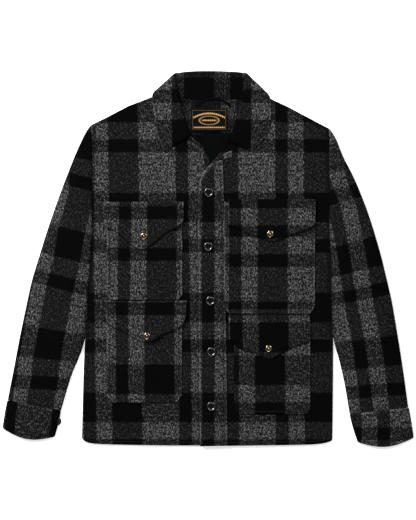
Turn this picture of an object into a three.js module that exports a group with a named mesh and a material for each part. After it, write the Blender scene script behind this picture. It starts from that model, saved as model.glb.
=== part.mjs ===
// A men's mackinaw jacket in heavy plaid wool, buttoned and laid flat on its back.
// Millimetres. +X is the wearer's left, +Y runs from hem to collar, +Z is up from the surface.
// The origin is the middle of the jacket's outline, on the surface that it lies on.
import * as THREE from "three";

// Cloth: the wool's thickness, and the gap between pieces that are sewn or lie on each other.
const CLOTH = 2.8;
const GAP = 0.4;
const STEP = CLOTH + GAP;
// How much a cut edge is rounded down, and how far in from the edge that starts.
const EDGE_DROP = 0.8;
const EDGE_IN = 2.5;
// The jacket's thin cloths.
const LINING = 1;
const FACING = 2;
const TAPE = 1.2;
const LABEL = 0.6;

// Sleeve and cuff: outer thickness as they lie, two walls with a little air between them.
const SLEEVE_HEIGHT = 8.8;
const SLEEVE_RELIEF = 2.4;
const CUFF_HEIGHT = 8.4;

// Hardware.
const BUTTON_RADIUS = 10;
const BUTTON_HEIGHT = 4;
const CUFF_BUTTON_RADIUS = 7.5;
const CUFF_BUTTON_HEIGHT = 3;
const SNAP_RADIUS = 7.8;
const SNAP_HEIGHT = 2.4;

// Side of the body from the hem to the shoulder tip: the side seam, the underarm, the armhole.
const SIDE_RIGHT = [
  { x: -271.1, y: -382.9 },
  { x: -269.0, y: -302.3 },
  { x: -266.8, y: -227.0 },
  { x: -264.0, y: -171.1 },
  { x: -261.0, y: -108.8 },
  { x: -256.7, y: -33.5 },
  { x: -251.4, y: 41.7 },
  { x: -251.4, y: 114.8 },
  { x: -250.6, y: 213.7 },
  { x: -249.8, y: 289.2 },
];
const SIDE_LEFT = [
  { x: 267.0, y: -385.1 },
  { x: 267.9, y: -302.3 },
  { x: 268.5, y: -227.0 },
  { x: 268.5, y: -175.4 },
  { x: 267.0, y: -108.8 },
  { x: 265.4, y: -33.5 },
  { x: 264.6, y: 41.7 },
  { x: 263.0, y: 136.3 },
  { x: 261.4, y: 218.0 },
  { x: 260.0, y: 280.9 },
];

// Shoulder seam from the tip to the neck point, then the neck seam of each front.
const SHOULDER_RIGHT = [
  { x: -249.8, y: 289.2 },
  { x: -214.1, y: 306.8 },
  { x: -172.4, y: 328.9 },
  { x: -123.0, y: 348.0 },
  { x: -95.5, y: 358.2 },
];
const SHOULDER_LEFT = [
  { x: 260.0, y: 280.9 },
  { x: 214.6, y: 304.7 },
  { x: 172.6, y: 327.2 },
  { x: 135.0, y: 344.5 },
  { x: 106.0, y: 357.6 },
];
const NECK_FRONT_RIGHT = [
  { x: -93.5, y: 334.1 },
  { x: -82.5, y: 304.0 },
  { x: -66.7, y: 276.1 },
  { x: -46.0, y: 254.5 },
];
const NECK_FRONT_LEFT = [
  { x: 99.5, y: 332.0 },
  { x: 86.5, y: 299.7 },
  { x: 71.5, y: 265.3 },
  { x: 58.5, y: 237.0 },
];
const NECK_BACK = [
  { x: -76, y: 345.5 },
  { x: -55, y: 337.0 },
  { x: -2, y: 331.5 },
  { x: 60, y: 336.5 },
  { x: 86, y: 345.5 },
];

// Hem from the wearer's right to the left, with its two round corners.
const HEM_RIGHT = [
  { x: -271.1, y: -382.9 },
  { x: -267.9, y: -388.3 },
  { x: -260.4, y: -392.6 },
  { x: -243.2, y: -395.8 },
  { x: -189.4, y: -398.0 },
];
const HEM_LEFT = [
  { x: 197.6, y: -398.2 },
  { x: 236.3, y: -396.5 },
  { x: 255.6, y: -393.0 },
  { x: 264.9, y: -389.4 },
  { x: 267.0, y: -385.1 },
];
const HEM_Y = -399.6;

// Free edge of each front, hem to neck. The left front lies over the right one.
const EDGE_UNDER = [
  { x: 29.9, y: HEM_Y },
  { x: 29.9, y: -87.3 },
  { x: 29.9, y: 130 },
  { x: 10.5, y: 179.3 },
  { x: -6.7, y: 205.1 },
  { x: -15.0, y: 235.2 },
  { x: -46.0, y: 254.5 },
];
const EDGE_OVER = [
  { x: -17.4, y: HEM_Y - 1.2 },
  { x: -19.6, y: -87.3 },
  { x: -19.6, y: 149.2 },
  { x: -13.1, y: 181.5 },
  { x: 17.0, y: 215.9 },
  { x: 58.5, y: 237.0 },
];
// Inner, stitched edge of the button band.
const BAND_INNER = [
  { x: 41.7, y: HEM_Y },
  { x: 38.0, y: -119.5 },
  { x: 33.6, y: 149.2 },
  { x: 31.0, y: 213.0 },
];

// Collar sections from the wearer's right front end, round the back of the neck, to the left.
// n is the neck seam, r the roll and e the free edge. turn is how far the leaf has swung over
// from lying on the front, 0, to lying under the stand at the back, 1.
const COLLAR_SECTIONS = [
  { nx: -41.4, ny: 255.6, rx: -40.0, ry: 263.2, ex: -94.8, ey: 232.0, turn: 0 },
  { nx: -59.2, ny: 278.2, rx: -50.7, ry: 289.0, ex: -107.7, ey: 261.0, turn: 0 },
  { nx: -73.6, ny: 305.6, rx: -57.2, ry: 312.6, ex: -114.2, ey: 299.7, turn: 0 },
  { nx: -88.8, ny: 334.6, rx: -65.8, ry: 347.0, ex: -118.5, ey: 329.8, turn: 0 },
  { nx: -92.7, ny: 351.3, rx: -72.2, ry: 377.1, ex: -121.5, ey: 340.5, turn: 0 },
  { nx: -92.0, ny: 357.8, rx: -71.2, ry: 394.3, ex: -126.0, ey: 358.0, turn: 0.5 },
  { nx: -86.0, ny: 353.0, rx: -62.6, ry: 398.2, ex: -109.9, ey: 362.8, turn: 1 },
  { nx: -60.4, ny: 340.4, rx: -43.2, ry: 399.9, ex: -64.7, ey: 371.7, turn: 1 },
  { nx: -2.4, ny: 334.9, rx: -2.4, ry: 400.1, ex: -2.4, ey: 370.8, turn: 1 },
  { nx: 60.0, ny: 339.6, rx: 47.1, ry: 399.9, ex: 68.6, ey: 371.7, turn: 1 },
  { nx: 96.5, ny: 353.0, rx: 74.0, ry: 398.2, ex: 120.2, ey: 362.8, turn: 1 },
  { nx: 102.5, ny: 357.8, rx: 82.5, ry: 394.3, ex: 138.6, ey: 353.8, turn: 0.5 },
  { nx: 102.0, ny: 350.2, rx: 82.1, ry: 377.1, ex: 135.2, ey: 339.8, turn: 0 },
  { nx: 96.5, ny: 332.0, rx: 74.0, ry: 347.0, ex: 134.2, ey: 328.0, turn: 0 },
  { nx: 83.6, ny: 299.7, rx: 66.4, ry: 312.6, ex: 135.2, ey: 304.0, turn: 0 },
  { nx: 68.6, ny: 265.3, rx: 56.8, ry: 276.1, ex: 124.5, ey: 265.3, turn: 0 },
  { nx: 56.8, ny: 238.9, rx: 52.5, ry: 249.0, ex: 92.2, ey: 232.0, turn: 0 },
];

// Sleeve sections from the armhole to the cuff seam: ox, oy on the outer edge, ix, iy on the
// inner one. drop is how far the upper wall sinks there, in its long soft folds.
const SLEEVE_RIGHT = [
  { ox: -250.4, oy: 290.2, ix: -252.9, iy: 41.7, drop: 0.3 },
  { ox: -261.4, oy: 275.0, ix: -254.6, iy: 26.7, drop: 0.5 },
  { ox: -279.7, oy: 237.4, ix: -255.9, iy: 3.0, drop: 0.1 },
  { ox: -303.4, oy: 179.3, ix: -258.3, iy: -33.5, drop: 0.6 },
  { ox: -324.9, oy: 121.3, ix: -260.7, iy: -72.2, drop: 0.0 },
  { ox: -344.2, oy: 65.4, ix: -262.8, iy: -110.9, drop: 0.4 },
  { ox: -362.5, oy: 7.3, ix: -264.8, iy: -147.5, drop: 0.1 },
  { ox: -378.6, oy: -46.4, ix: -268.2, iy: -184.0, drop: 0.9 },
  { ox: -391.5, oy: -104.5, ix: -278.6, iy: -214.1, drop: 0.2 },
  { ox: -404.4, oy: -166.8, ix: -290.5, iy: -242.1, drop: 0.7 },
  { ox: -416.2, oy: -229.2, ix: -301.2, iy: -274.3, drop: 0.1 },
  { ox: -430.4, oy: -302.3, ix: -315.6, iy: -323.8, drop: 0.5 },
];
const SLEEVE_LEFT = [
  { ox: 260.6, oy: 281.9, ix: 265.3, iy: 41.7, drop: 0.3 },
  { ox: 273.5, oy: 261.0, ix: 266.4, iy: 26.7, drop: 0.6 },
  { ox: 289.2, oy: 222.7, ix: 267.0, iy: 3.0, drop: 0.1 },
  { ox: 312.0, oy: 177.6, ix: 267.6, iy: -33.5, drop: 0.5 },
  { ox: 333.0, oy: 127.7, ix: 268.8, iy: -72.2, drop: 0.0 },
  { ox: 351.3, oy: 76.1, ix: 269.8, iy: -110.9, drop: 0.6 },
  { ox: 370.7, oy: 10.1, ix: 270.4, iy: -147.5, drop: 0.2 },
  { ox: 382.5, oy: -37.8, ix: 272.4, iy: -184.0, drop: 0.8 },
  { ox: 394.3, oy: -89.4, ix: 280.1, iy: -212.0, drop: 0.1 },
  { ox: 406.8, oy: -161.9, ix: 287.9, iy: -244.2, drop: 0.6 },
  { ox: 418.2, oy: -234.1, ix: 295.4, iy: -280.8, drop: 0.1 },
  { ox: 429.8, oy: -317.5, ix: 303.6, iy: -331.5, drop: 0.5 },
];
const CUFF_RIGHT = [
  { ox: -431.4, oy: -302.7, ix: -315.7, iy: -324.4, drop: 0 },
  { ox: -436.7, oy: -330.2, ix: -321.0, iy: -351.5, drop: 0.2 },
  { ox: -440.2, oy: -352.0, ix: -326.6, iy: -371.4, drop: 0.1 },
  { ox: -441.8, oy: -362.3, ix: -329.2, iy: -380.6, drop: 0 },
];
const CUFF_LEFT = [
  { ox: 431.0, oy: -317.9, ix: 303.4, iy: -332.1, drop: 0 },
  { ox: 436.2, oy: -346.0, ix: 309.8, iy: -358.0, drop: 0.2 },
  { ox: 439.9, oy: -370.0, ix: 316.9, iy: -380.5, drop: 0.1 },
  { ox: 441.8, oy: -383.0, ix: 321.0, iy: -392.6, drop: 0 },
];
// How far the lower edge of each cuff bulges past a straight line between its corners.
const CUFF_BULGE = 14.5;

// Pocket bags, each a patch with its two lower corners cut off, and the flap over its mouth.
// The flap's lower edge runs from its left end to its right end through the low point.
const POCKETS = [
  {
    name: "chest_right",
    bag: { left: -217.4, right: -55.3, top: 117.0, bottom: -86.8, corner: 11 },
    flap: [
      { x: -223.7, y: 88.4 },
      { x: -218.9, y: 71.8 },
      { x: -193.1, y: 57.0 },
      { x: -143.0, y: 21.5 },
      { x: -91.8, y: 55.3 },
      { x: -57.5, y: 75.5 },
      { x: -52.2, y: 88.0 },
    ],
    flapTop: 123.5,
    snap: { x: -137.4, y: 49.7 },
  },
  {
    name: "hip_right",
    bag: { left: -217.4, right: -56.1, top: -95.0, bottom: -307.0, corner: 15 },
    flap: [
      { x: -219.5, y: -122.0 },
      { x: -214.0, y: -137.0 },
      { x: -180.0, y: -156.0 },
      { x: -131.4, y: -178.5 },
      { x: -97.0, y: -161.7 },
      { x: -52.5, y: -138.5 },
      { x: -45.4, y: -122.0 },
    ],
    flapTop: -88.6,
    snap: { x: -131.2, y: -164.0 },
  },
  {
    name: "chest_left",
    bag: { left: 43.5, right: 229.4, top: 123.4, bottom: -118.0, corner: 15 },
    flap: [
      { x: 43.5, y: 74.0 },
      { x: 79.1, y: 58.5 },
      { x: 110.3, y: 47.4 },
      { x: 134.8, y: 37.7 },
      { x: 168.1, y: 48.6 },
      { x: 226.0, y: 71.1 },
      { x: 230.5, y: 80.8 },
    ],
    flapTop: 129.0,
    snap: { x: 133.1, y: 54.2 },
  },
  {
    name: "hip_left",
    bag: { left: 56.1, right: 219.1, top: -127.0, bottom: -331.9, corner: 10 },
    flap: [
      { x: 55.4, y: -176.0 },
      { x: 75.0, y: -195.0 },
      { x: 103.8, y: -200.2 },
      { x: 131.6, y: -213.0 },
      { x: 158.0, y: -200.5 },
      { x: 184.0, y: -186.5 },
      { x: 217.6, y: -176.0 },
    ],
    flapTop: -122.0,
    snap: { x: 129.6, y: -190.9 },
  },
];

const BUTTONS = [
  { x: 1.3, y: 143.6 },
  { x: 0.6, y: 27.7 },
  { x: 4.9, y: -88.6 },
  { x: 7.1, y: -197.8 },
  { x: 6.7, y: -314.5 },
];

const CUFF_BUTTON = {
  x: -320.9,
  y: -348.4,
  z: 7.8,
  turn: { tilt: THREE.MathUtils.degToRad(66), heading: THREE.MathUtils.degToRad(-13) },
};

// Edges of the tape loop that the jacket hangs from.
const LOOP_INNER = [
  { x: -26, y: 325.5 },
  { x: -8, y: 338 },
  { x: 10.5, y: 341.5 },
  { x: 30, y: 338 },
  { x: 47, y: 325.5 },
];
const LOOP_OUTER = [
  { x: -30, y: 329.5 },
  { x: -9, y: 344 },
  { x: 10.5, y: 347.5 },
  { x: 31, y: 344 },
  { x: 51, y: 329.5 },
];

// Materials, one for each finish.
function finish(color, roughness, metalness) {
  return new THREE.MeshStandardMaterial({ color, roughness, metalness });
}
const WOOL = finish(0x3a3b3d, 0.95, 0);
const LINING_CLOTH = finish(0x15181a, 0.8, 0);
const WOVEN_LABEL = finish(0x0f1012, 0.7, 0);
const HORN = finish(0x0a0a0b, 0.2, 0);
const BRASS = finish(0xa8905c, 0.35, 0.9);

const jacket = new THREE.Group();

// A closed mesh from its corner points and its faces, as lists of corner numbers.
function addSolid(name, points, faces, material) {
  const geometry = new THREE.BufferGeometry();
  const position = new THREE.Float32BufferAttribute(points.flat(), 3);
  geometry.setAttribute("position", position);
  geometry.setIndex(faces.flat());
  geometry.computeVertexNormals();
  const mesh = new THREE.Mesh(geometry, material);
  mesh.name = name;
  jacket.add(mesh);
}

// A smooth line through a table's points, as a function of 0 to 1 along its length.
function lineThrough(points) {
  const corners = points.map((p) => new THREE.Vector3(p.x, p.y, 0));
  const curve = new THREE.CatmullRomCurve3(corners, false, "centripetal");
  return (t) => {
    const p = curve.getPointAt(Math.min(Math.max(t, 0), 1));
    return { x: p.x, y: p.y };
  };
}

// The same, with straight runs between the points.
function straightLine(points) {
  const path = new THREE.CurvePath();
  for (let i = 1; i < points.length; i += 1) {
    const from = new THREE.Vector3(points[i - 1].x, points[i - 1].y, 0);
    const to = new THREE.Vector3(points[i].x, points[i].y, 0);
    path.add(new THREE.LineCurve3(from, to));
  }
  return (t) => {
    const p = path.getPointAt(Math.min(Math.max(t, 0), 1));
    return { x: p.x, y: p.y };
  };
}

// A flat patch between four lines: lower and upper run in u, first and last in v.
function patchBetween({ lower, upper, first, last }) {
  const corner = { a: lower(0), b: lower(1), c: upper(0), d: upper(1) };
  return (u, v) => {
    const along = (axis) =>
      (1 - v) * lower(u)[axis] +
      v * upper(u)[axis] +
      (1 - u) * first(v)[axis] +
      u * last(v)[axis] -
      (1 - u) * (1 - v) * corner.a[axis] -
      u * (1 - v) * corner.b[axis] -
      (1 - u) * v * corner.c[axis] -
      u * v * corner.d[axis];
    return { x: along("x"), y: along("y") };
  };
}

// Steps from 0 to 1 with a narrow first and last one, where the cut edges are rounded.
function stepsWithEdges(count, length) {
  const edge = EDGE_IN / length;
  const steps = [0];
  for (let i = 0; i <= count; i += 1) {
    steps.push(edge + ((1 - 2 * edge) * i) / count);
  }
  steps.push(1);
  return steps;
}

// Faces of a wall whose two sides are grids of rows by columns, the second one numbered on
// from the first. The first side faces up.
function wallFaces(rows, columns) {
  const faces = [];
  const upper = (i, j) => i * columns + j;
  const lower = (i, j) => rows * columns + i * columns + j;
  for (let i = 0; i + 1 < rows; i += 1) {
    for (let j = 0; j + 1 < columns; j += 1) {
      faces.push([upper(i, j), upper(i, j + 1), upper(i + 1, j + 1)]);
      faces.push([upper(i, j), upper(i + 1, j + 1), upper(i + 1, j)]);
      faces.push([lower(i, j), lower(i + 1, j + 1), lower(i, j + 1)]);
      faces.push([lower(i, j), lower(i + 1, j), lower(i + 1, j + 1)]);
    }
  }
  const side = (i, j, k, l) => {
    faces.push([upper(i, j), lower(k, l), upper(k, l)]);
    faces.push([upper(i, j), lower(i, j), lower(k, l)]);
  };
  for (let j = 0; j + 1 < columns; j += 1) {
    side(0, j, 0, j + 1);
    side(rows - 1, j + 1, rows - 1, j);
  }
  for (let i = 0; i + 1 < rows; i += 1) {
    side(i + 1, 0, i, 0);
    side(i, columns - 1, i + 1, columns - 1);
  }
  return faces;
}

// A sheet of cloth over a patch, lying on what rests(x, y) gives, with rounded upper edges.
function addSheet({ name, patch, across, along, columns, rows, rests, thick, material }) {
  const us = stepsWithEdges(columns, across);
  const vs = stepsWithEdges(rows, along);
  const upper = [];
  const lower = [];
  vs.forEach((v, i) => {
    us.forEach((u, j) => {
      const { x, y } = patch(u, v);
      const z = rests(x, y);
      const rim = i === 0 || j === 0 || i === vs.length - 1 || j === us.length - 1;
      const drop = rim ? Math.min(EDGE_DROP, thick / 3) : 0;
      upper.push([x, y, z + thick - drop]);
      lower.push([x, y, z]);
    });
  });
  const faces = wallFaces(vs.length, us.length);
  addSolid(name, [...upper, ...lower], faces, material ?? WOOL);
}

// Goes smoothly from 0 to 1 between two values.
function ease(value, from, to) {
  return THREE.MathUtils.smoothstep(value, from, to);
}

// How far the collar's leaf keeps off the fronts, a little more than one gap.
const LEAF_CLEAR = 0.7;

// Heights of what lies on what. The back lies on the surface and the right front on the back.
const onSurface = () => 0;
const onBack = () => STEP;
// Large soft swells of the fronts.
function swell(x, y) {
  const wide = Math.sin((x + 60) / 62) * Math.cos((y - 40) / 88);
  const inside = 1 - ease(Math.abs(x), 205, 248);
  return 0.35 * (1 + wide) * inside * (1 - ease(Math.abs(y + 90), 220, 300));
}
const rightFrontRests = (x, y) => STEP + swell(x, y);
// The left front comes down from the right one's edge to the back in one even slope.
function leftFrontRests(x, y) {
  const slope = THREE.MathUtils.clamp((250 - x) / 215, 0, 1);
  const belowNeck = 1 - ease(y, 195, 330);
  return STEP + (STEP + 0.4) * slope * belowNeck + swell(x, y) * (1 - slope);
}
const frontRests = (x, y) => (x < 0 ? rightFrontRests(x, y) : leftFrontRests(x, y));
const onFront = (rests, layers) => (x, y) => rests(x, y) + layers * STEP;

// Body panels.
const sideRight = lineThrough(SIDE_RIGHT);
const sideLeft = lineThrough(SIDE_LEFT);
addSheet({
  name: "back",
  patch: patchBetween({
    lower: lineThrough([...HEM_RIGHT, { x: 0, y: HEM_Y }, ...HEM_LEFT]),
    upper: straightLine([...SHOULDER_RIGHT, ...NECK_BACK, ...[...SHOULDER_LEFT].reverse()]),
    first: sideRight,
    last: sideLeft,
  }),
  across: 520,
  along: 700,
  columns: 22,
  rows: 12,
  rests: onSurface,
  thick: CLOTH,
});
addSheet({
  name: "front_right",
  patch: patchBetween({
    lower: lineThrough([...HEM_RIGHT, { x: -80, y: HEM_Y }, EDGE_UNDER[0]]),
    upper: straightLine([...SHOULDER_RIGHT, ...NECK_FRONT_RIGHT]),
    first: sideRight,
    last: lineThrough(EDGE_UNDER),
  }),
  across: 290,
  along: 690,
  columns: 14,
  rows: 18,
  rests: rightFrontRests,
  thick: CLOTH,
});
addSheet({
  name: "front_left",
  patch: patchBetween({
    lower: lineThrough([EDGE_OVER[0], { x: 90, y: HEM_Y }, ...HEM_LEFT]),
    upper: straightLine([...[...NECK_FRONT_LEFT].reverse(), ...[...SHOULDER_LEFT].reverse()]),
    first: lineThrough(EDGE_OVER),
    last: sideLeft,
  }),
  across: 280,
  along: 680,
  columns: 14,
  rows: 18,
  rests: leftFrontRests,
  thick: CLOTH,
});

// Button band, sewn on the left front's free edge.
const bandRests = onFront(leftFrontRests, 1);
addSheet({
  name: "front_band",
  patch: patchBetween({
    lower: straightLine([EDGE_OVER[0], BAND_INNER[0]]),
    upper: straightLine([{ x: 10, y: 209 }, { x: 31, y: 213 }]),
    first: lineThrough([...EDGE_OVER.slice(0, 4), { x: 10, y: 209 }]),
    last: lineThrough(BAND_INNER),
  }),
  across: 55,
  along: 620,
  columns: 3,
  rows: 18,
  rests: bandRests,
  thick: CLOTH,
});
// The left front's facing, turned out where the neck is left open.
addSheet({
  name: "front_facing",
  patch: patchBetween({
    lower: straightLine([{ x: 34.5, y: 216 }, { x: 50.5, y: 218 }]),
    upper: straightLine([{ x: 33, y: 226.5 }, { x: 51.5, y: 233.5 }]),
    first: straightLine([{ x: 34.5, y: 216 }, { x: 33, y: 226.5 }]),
    last: straightLine([{ x: 50.5, y: 218 }, { x: 51.5, y: 233.5 }]),
  }),
  across: 18,
  along: 16,
  columns: 2,
  rows: 2,
  rests: onFront(leftFrontRests, 1),
  thick: FACING,
});

// Inside the neck: the lining, the back neck facing, the label and the hanger loop.
addSheet({
  name: "back_lining",
  patch: patchBetween({
    lower: straightLine([{ x: 6, y: 199 }, { x: 30, y: 199 }]),
    upper: straightLine([{ x: -41, y: 269 }, { x: 50, y: 269 }]),
    first: straightLine([
      { x: 6, y: 199 },
      { x: -2, y: 226 },
      { x: -11, y: 243 },
      { x: -41, y: 269 },
    ]),
    last: straightLine([{ x: 30, y: 199 }, { x: 52, y: 238 }, { x: 50, y: 269 }]),
  }),
  across: 80,
  along: 75,
  columns: 4,
  rows: 4,
  rests: onBack,
  thick: LINING,
  material: LINING_CLOTH,
});
addSheet({
  name: "neck_facing",
  patch: patchBetween({
    lower: straightLine([{ x: -39.5, y: 271 }, { x: 51, y: 271 }]),
    upper: straightLine([{ x: -57, y: 330 }, { x: 65.5, y: 330 }]),
    first: straightLine([{ x: -39.5, y: 271 }, { x: -57, y: 330 }]),
    last: straightLine([{ x: 51, y: 271 }, { x: 65.5, y: 330 }]),
  }),
  across: 115,
  along: 58,
  columns: 4,
  rows: 3,
  rests: onBack,
  thick: FACING,
});
const onFacing = () => STEP + FACING + GAP;
addSheet({
  name: "neck_label",
  patch: patchBetween({
    lower: straightLine([{ x: -37, y: 276.2 }, { x: 41.5, y: 276 }]),
    upper: straightLine([{ x: -37, y: 323.6 }, { x: 41.5, y: 323.4 }]),
    first: straightLine([{ x: -37, y: 276.2 }, { x: -37, y: 323.6 }]),
    last: straightLine([{ x: 41.5, y: 276 }, { x: 41.5, y: 323.4 }]),
  }),
  across: 78.5,
  along: 47.4,
  columns: 1,
  rows: 1,
  rests: onFacing,
  thick: LABEL,
  material: WOVEN_LABEL,
});
addSheet({
  name: "hanger_loop",
  patch: patchBetween({
    lower: lineThrough(LOOP_INNER),
    upper: lineThrough(LOOP_OUTER),
    first: straightLine([LOOP_INNER[0], LOOP_OUTER[0]]),
    last: straightLine([LOOP_INNER.at(-1), LOOP_OUTER.at(-1)]),
  }),
  across: 80,
  along: 6,
  columns: 8,
  rows: 1,
  rests: onFacing,
  thick: TAPE,
  material: LINING_CLOTH,
});

// Collar: the stand rises from the neck seam to the roll, and the leaf comes back down from it.
function addCollar() {
  const half = STEP / 2;
  const grids = { upper: [], lower: [] };
  const wall = CLOTH / 2;
  const put = (middle, normal, reach) => {
    grids.upper.push(middle.clone().addScaledVector(normal, reach).toArray());
    grids.lower.push(middle.clone().addScaledVector(normal, -wall).toArray());
  };
  for (const s of COLLAR_SECTIONS) {
    const seam = new THREE.Vector2(s.nx, s.ny);
    const roll = new THREE.Vector2(s.rx, s.ry);
    const edge = new THREE.Vector2(s.ex, s.ey);
    const out = roll.clone().sub(edge).normalize();
    const level = s.turn === 0 ? frontRests(s.nx, s.ny) + wall : STEP * (1 - s.turn) + wall;
    const swing = s.turn * Math.PI;
    const sideways = new THREE.Vector2(-out.y, out.x).multiplyScalar(s.nx < 0 ? 1 : -1);
    const w = new THREE.Vector3(
      sideways.x * Math.sin(swing),
      sideways.y * Math.sin(swing),
      Math.cos(swing),
    );
    const outward = new THREE.Vector3(out.x, out.y, 0);
    const centre = s.turn === 1 ? wall + half : level + half;
    const axis = new THREE.Vector3(roll.x, roll.y, centre);
    const down = w.clone().negate();
    // Stand, from the seam up to the roll.
    for (const t of [0, 0.5]) {
      const at = seam.clone().lerp(roll, t);
      const z = THREE.MathUtils.lerp(level, centre - half * w.z, t);
      const middle = new THREE.Vector3(at.x, at.y, z).addScaledVector(
        new THREE.Vector3(w.x, w.y, 0),
        -half * t,
      );
      put(middle, down, t === 0 ? wall - EDGE_DROP : wall);
    }
    // Half a turn round the roll.
    for (const angle of [-90, -35, 35, 90]) {
      const a = THREE.MathUtils.degToRad(angle);
      const normal = outward.clone().multiplyScalar(Math.cos(a)).addScaledVector(w, Math.sin(a));
      put(axis.clone().addScaledVector(normal, half), normal, wall);
    }
    // Leaf, from the roll to its free edge.
    for (const t of [0.12, 0.45, 0.93, 1]) {
      const at = roll.clone().lerp(edge, t);
      const rest = s.turn === 0 ? frontRests(at.x, at.y) + CLOTH + LEAF_CLEAR + wall : centre + half * w.z;
      const z = THREE.MathUtils.lerp(centre + half * w.z, rest, Math.min(1, t * 2));
      const middle = new THREE.Vector3(at.x, at.y, z).addScaledVector(
        new THREE.Vector3(w.x, w.y, 0),
        half,
      );
      put(middle, w, t === 1 ? wall - EDGE_DROP : wall);
    }
  }
  const rows = COLLAR_SECTIONS.length;
  const columns = grids.upper.length / rows;
  const faces = wallFaces(rows, columns).map(([a, b, c]) => [a, c, b]);
  addSolid("collar", [...grids.upper, ...grids.lower], faces, WOOL);
}
addCollar();

// A flattened tube through sections: a lower wall on the surface, an upper wall over it and a
// round fold at each side, open at both ends.
const ROUND_STEPS = 3;
const UPPER_STEPS = 8;
const LOWER_STEPS = 4;
function ringPoints(section, height, inset, bulge) {
  const outer = new THREE.Vector2(section.ox, section.oy);
  const inner = new THREE.Vector2(section.ix, section.iy);
  const width = outer.distanceTo(inner);
  const across = inner.clone().sub(outer).normalize();
  const ahead = new THREE.Vector2(across.y, -across.x);
  if (ahead.y > 0) ahead.negate();
  const radius = height / 2 - inset;
  const top = height / 2;
  const place = (distance, z) => {
    const sag = bulge * Math.max(0, Math.sin((Math.PI * distance) / width));
    const at = outer.clone().addScaledVector(across, distance).addScaledVector(ahead, sag);
    return [at.x, at.y, z];
  };
  const points = [];
  const near = inset + radius;
  const far = width - near;
  for (let i = 0; i < LOWER_STEPS; i += 1) {
    points.push(place(THREE.MathUtils.lerp(near, far, i / LOWER_STEPS), inset));
  }
  for (let i = 0; i < ROUND_STEPS; i += 1) {
    const a = (Math.PI * i) / ROUND_STEPS - Math.PI / 2;
    points.push(place(far + radius * Math.cos(a), top + radius * Math.sin(a)));
  }
  for (let i = 0; i < UPPER_STEPS; i += 1) {
    const t = i / UPPER_STEPS;
    const sink = section.drop * SLEEVE_RELIEF * Math.sin(Math.PI * t) ** 2;
    points.push(place(THREE.MathUtils.lerp(far, near, t), height - inset - sink));
  }
  for (let i = 0; i < ROUND_STEPS; i += 1) {
    const a = (Math.PI * i) / ROUND_STEPS + Math.PI / 2;
    points.push(place(near + radius * Math.cos(a), top + radius * Math.sin(a)));
  }
  return points;
}

// Rows between the rows of a section table, on smooth lines through them.
function smoothSections(table, between) {
  const line = (x, y) =>
    new THREE.CatmullRomCurve3(
      table.map((row) => new THREE.Vector3(row[x], row[y], row.drop)),
      false,
      "centripetal",
    );
  const outer = line("ox", "oy");
  const inner = line("ix", "iy");
  const count = (table.length - 1) * between;
  const sections = [];
  for (let i = 0; i <= count; i += 1) {
    const o = outer.getPoint(i / count);
    const n = inner.getPoint(i / count);
    sections.push({ ox: o.x, oy: o.y, ix: n.x, iy: n.y, drop: Math.max(0, o.z) });
  }
  return sections;
}

function addTube({ name, table, between, height, bulge }) {
  const sections = smoothSections(table, between);
  const rings = [0, CLOTH].map((inset) =>
    sections.flatMap((section, i) => {
      const share = i / (sections.length - 1);
      return ringPoints(section, height, inset, bulge * share * share);
    }),
  );
  const rows = sections.length;
  const around = rings[0].length / rows;
  const outer = (i, j) => i * around + (j % around);
  const inner = (i, j) => rows * around + outer(i, j);
  const faces = [];
  const quad = (a, b, c, d) => faces.push([a, b, c], [a, c, d]);
  for (let j = 0; j < around; j += 1) {
    for (let i = 0; i + 1 < rows; i += 1) {
      quad(outer(i, j), outer(i, j + 1), outer(i + 1, j + 1), outer(i + 1, j));
      quad(inner(i, j), inner(i + 1, j), inner(i + 1, j + 1), inner(i, j + 1));
    }
    quad(outer(0, j), inner(0, j), inner(0, j + 1), outer(0, j + 1));
    const last = rows - 1;
    quad(outer(last, j), outer(last, j + 1), inner(last, j + 1), inner(last, j));
  }
  const mirrored = table[1].ix < table[1].ox;
  const turned = mirrored ? faces.map(([a, b, c]) => [a, c, b]) : faces;
  addSolid(name, rings.flat(), turned, WOOL);
}
const sleeve = { between: 2, height: SLEEVE_HEIGHT, bulge: 0 };
const cuff = { between: 1, height: CUFF_HEIGHT, bulge: CUFF_BULGE };
addTube({ name: "sleeve_right", table: SLEEVE_RIGHT, ...sleeve });
addTube({ name: "sleeve_left", table: SLEEVE_LEFT, ...sleeve });
addTube({ name: "cuff_right", table: CUFF_RIGHT, ...cuff });
addTube({ name: "cuff_left", table: CUFF_LEFT, ...cuff });

// Round hardware turned from a profile of radius and height shares, both from 0 to 1.
function addTurned({ name, profile, radius, height, x, y, z, turn, material }) {
  const points = profile.map(([r, h]) => new THREE.Vector2(r * radius, h * height));
  const geometry = new THREE.LatheGeometry(points, 16);
  geometry.rotateX(Math.PI / 2);
  const mesh = new THREE.Mesh(geometry, material);
  mesh.name = name;
  if (turn) mesh.rotation.set(0, turn.tilt, turn.heading, "ZYX");
  mesh.position.set(x, y, z);
  jacket.add(mesh);
}
const BUTTON_PROFILE = [
  [0, 0],
  [0.8, 0],
  [1, 0.35],
  [1, 0.7],
  [0.88, 1],
  [0.66, 0.78],
  [0, 0.7],
];
const SNAP_PROFILE = [
  [0, 0],
  [1, 0],
  [1, 0.35],
  [0.7, 0.9],
  [0.45, 1],
  [0.3, 0.6],
  [0, 0.6],
];

// The highest of the cloth's heights under a round piece.
function heightUnder(rests, { x, y }, radius) {
  const spots = [0, 1, 2, 3, 4, 5, 6, 7].map((i) => (i * Math.PI) / 4);
  return Math.max(
    ...spots.map((a) => rests(x + radius * Math.cos(a), y + radius * Math.sin(a))),
  );
}

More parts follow.
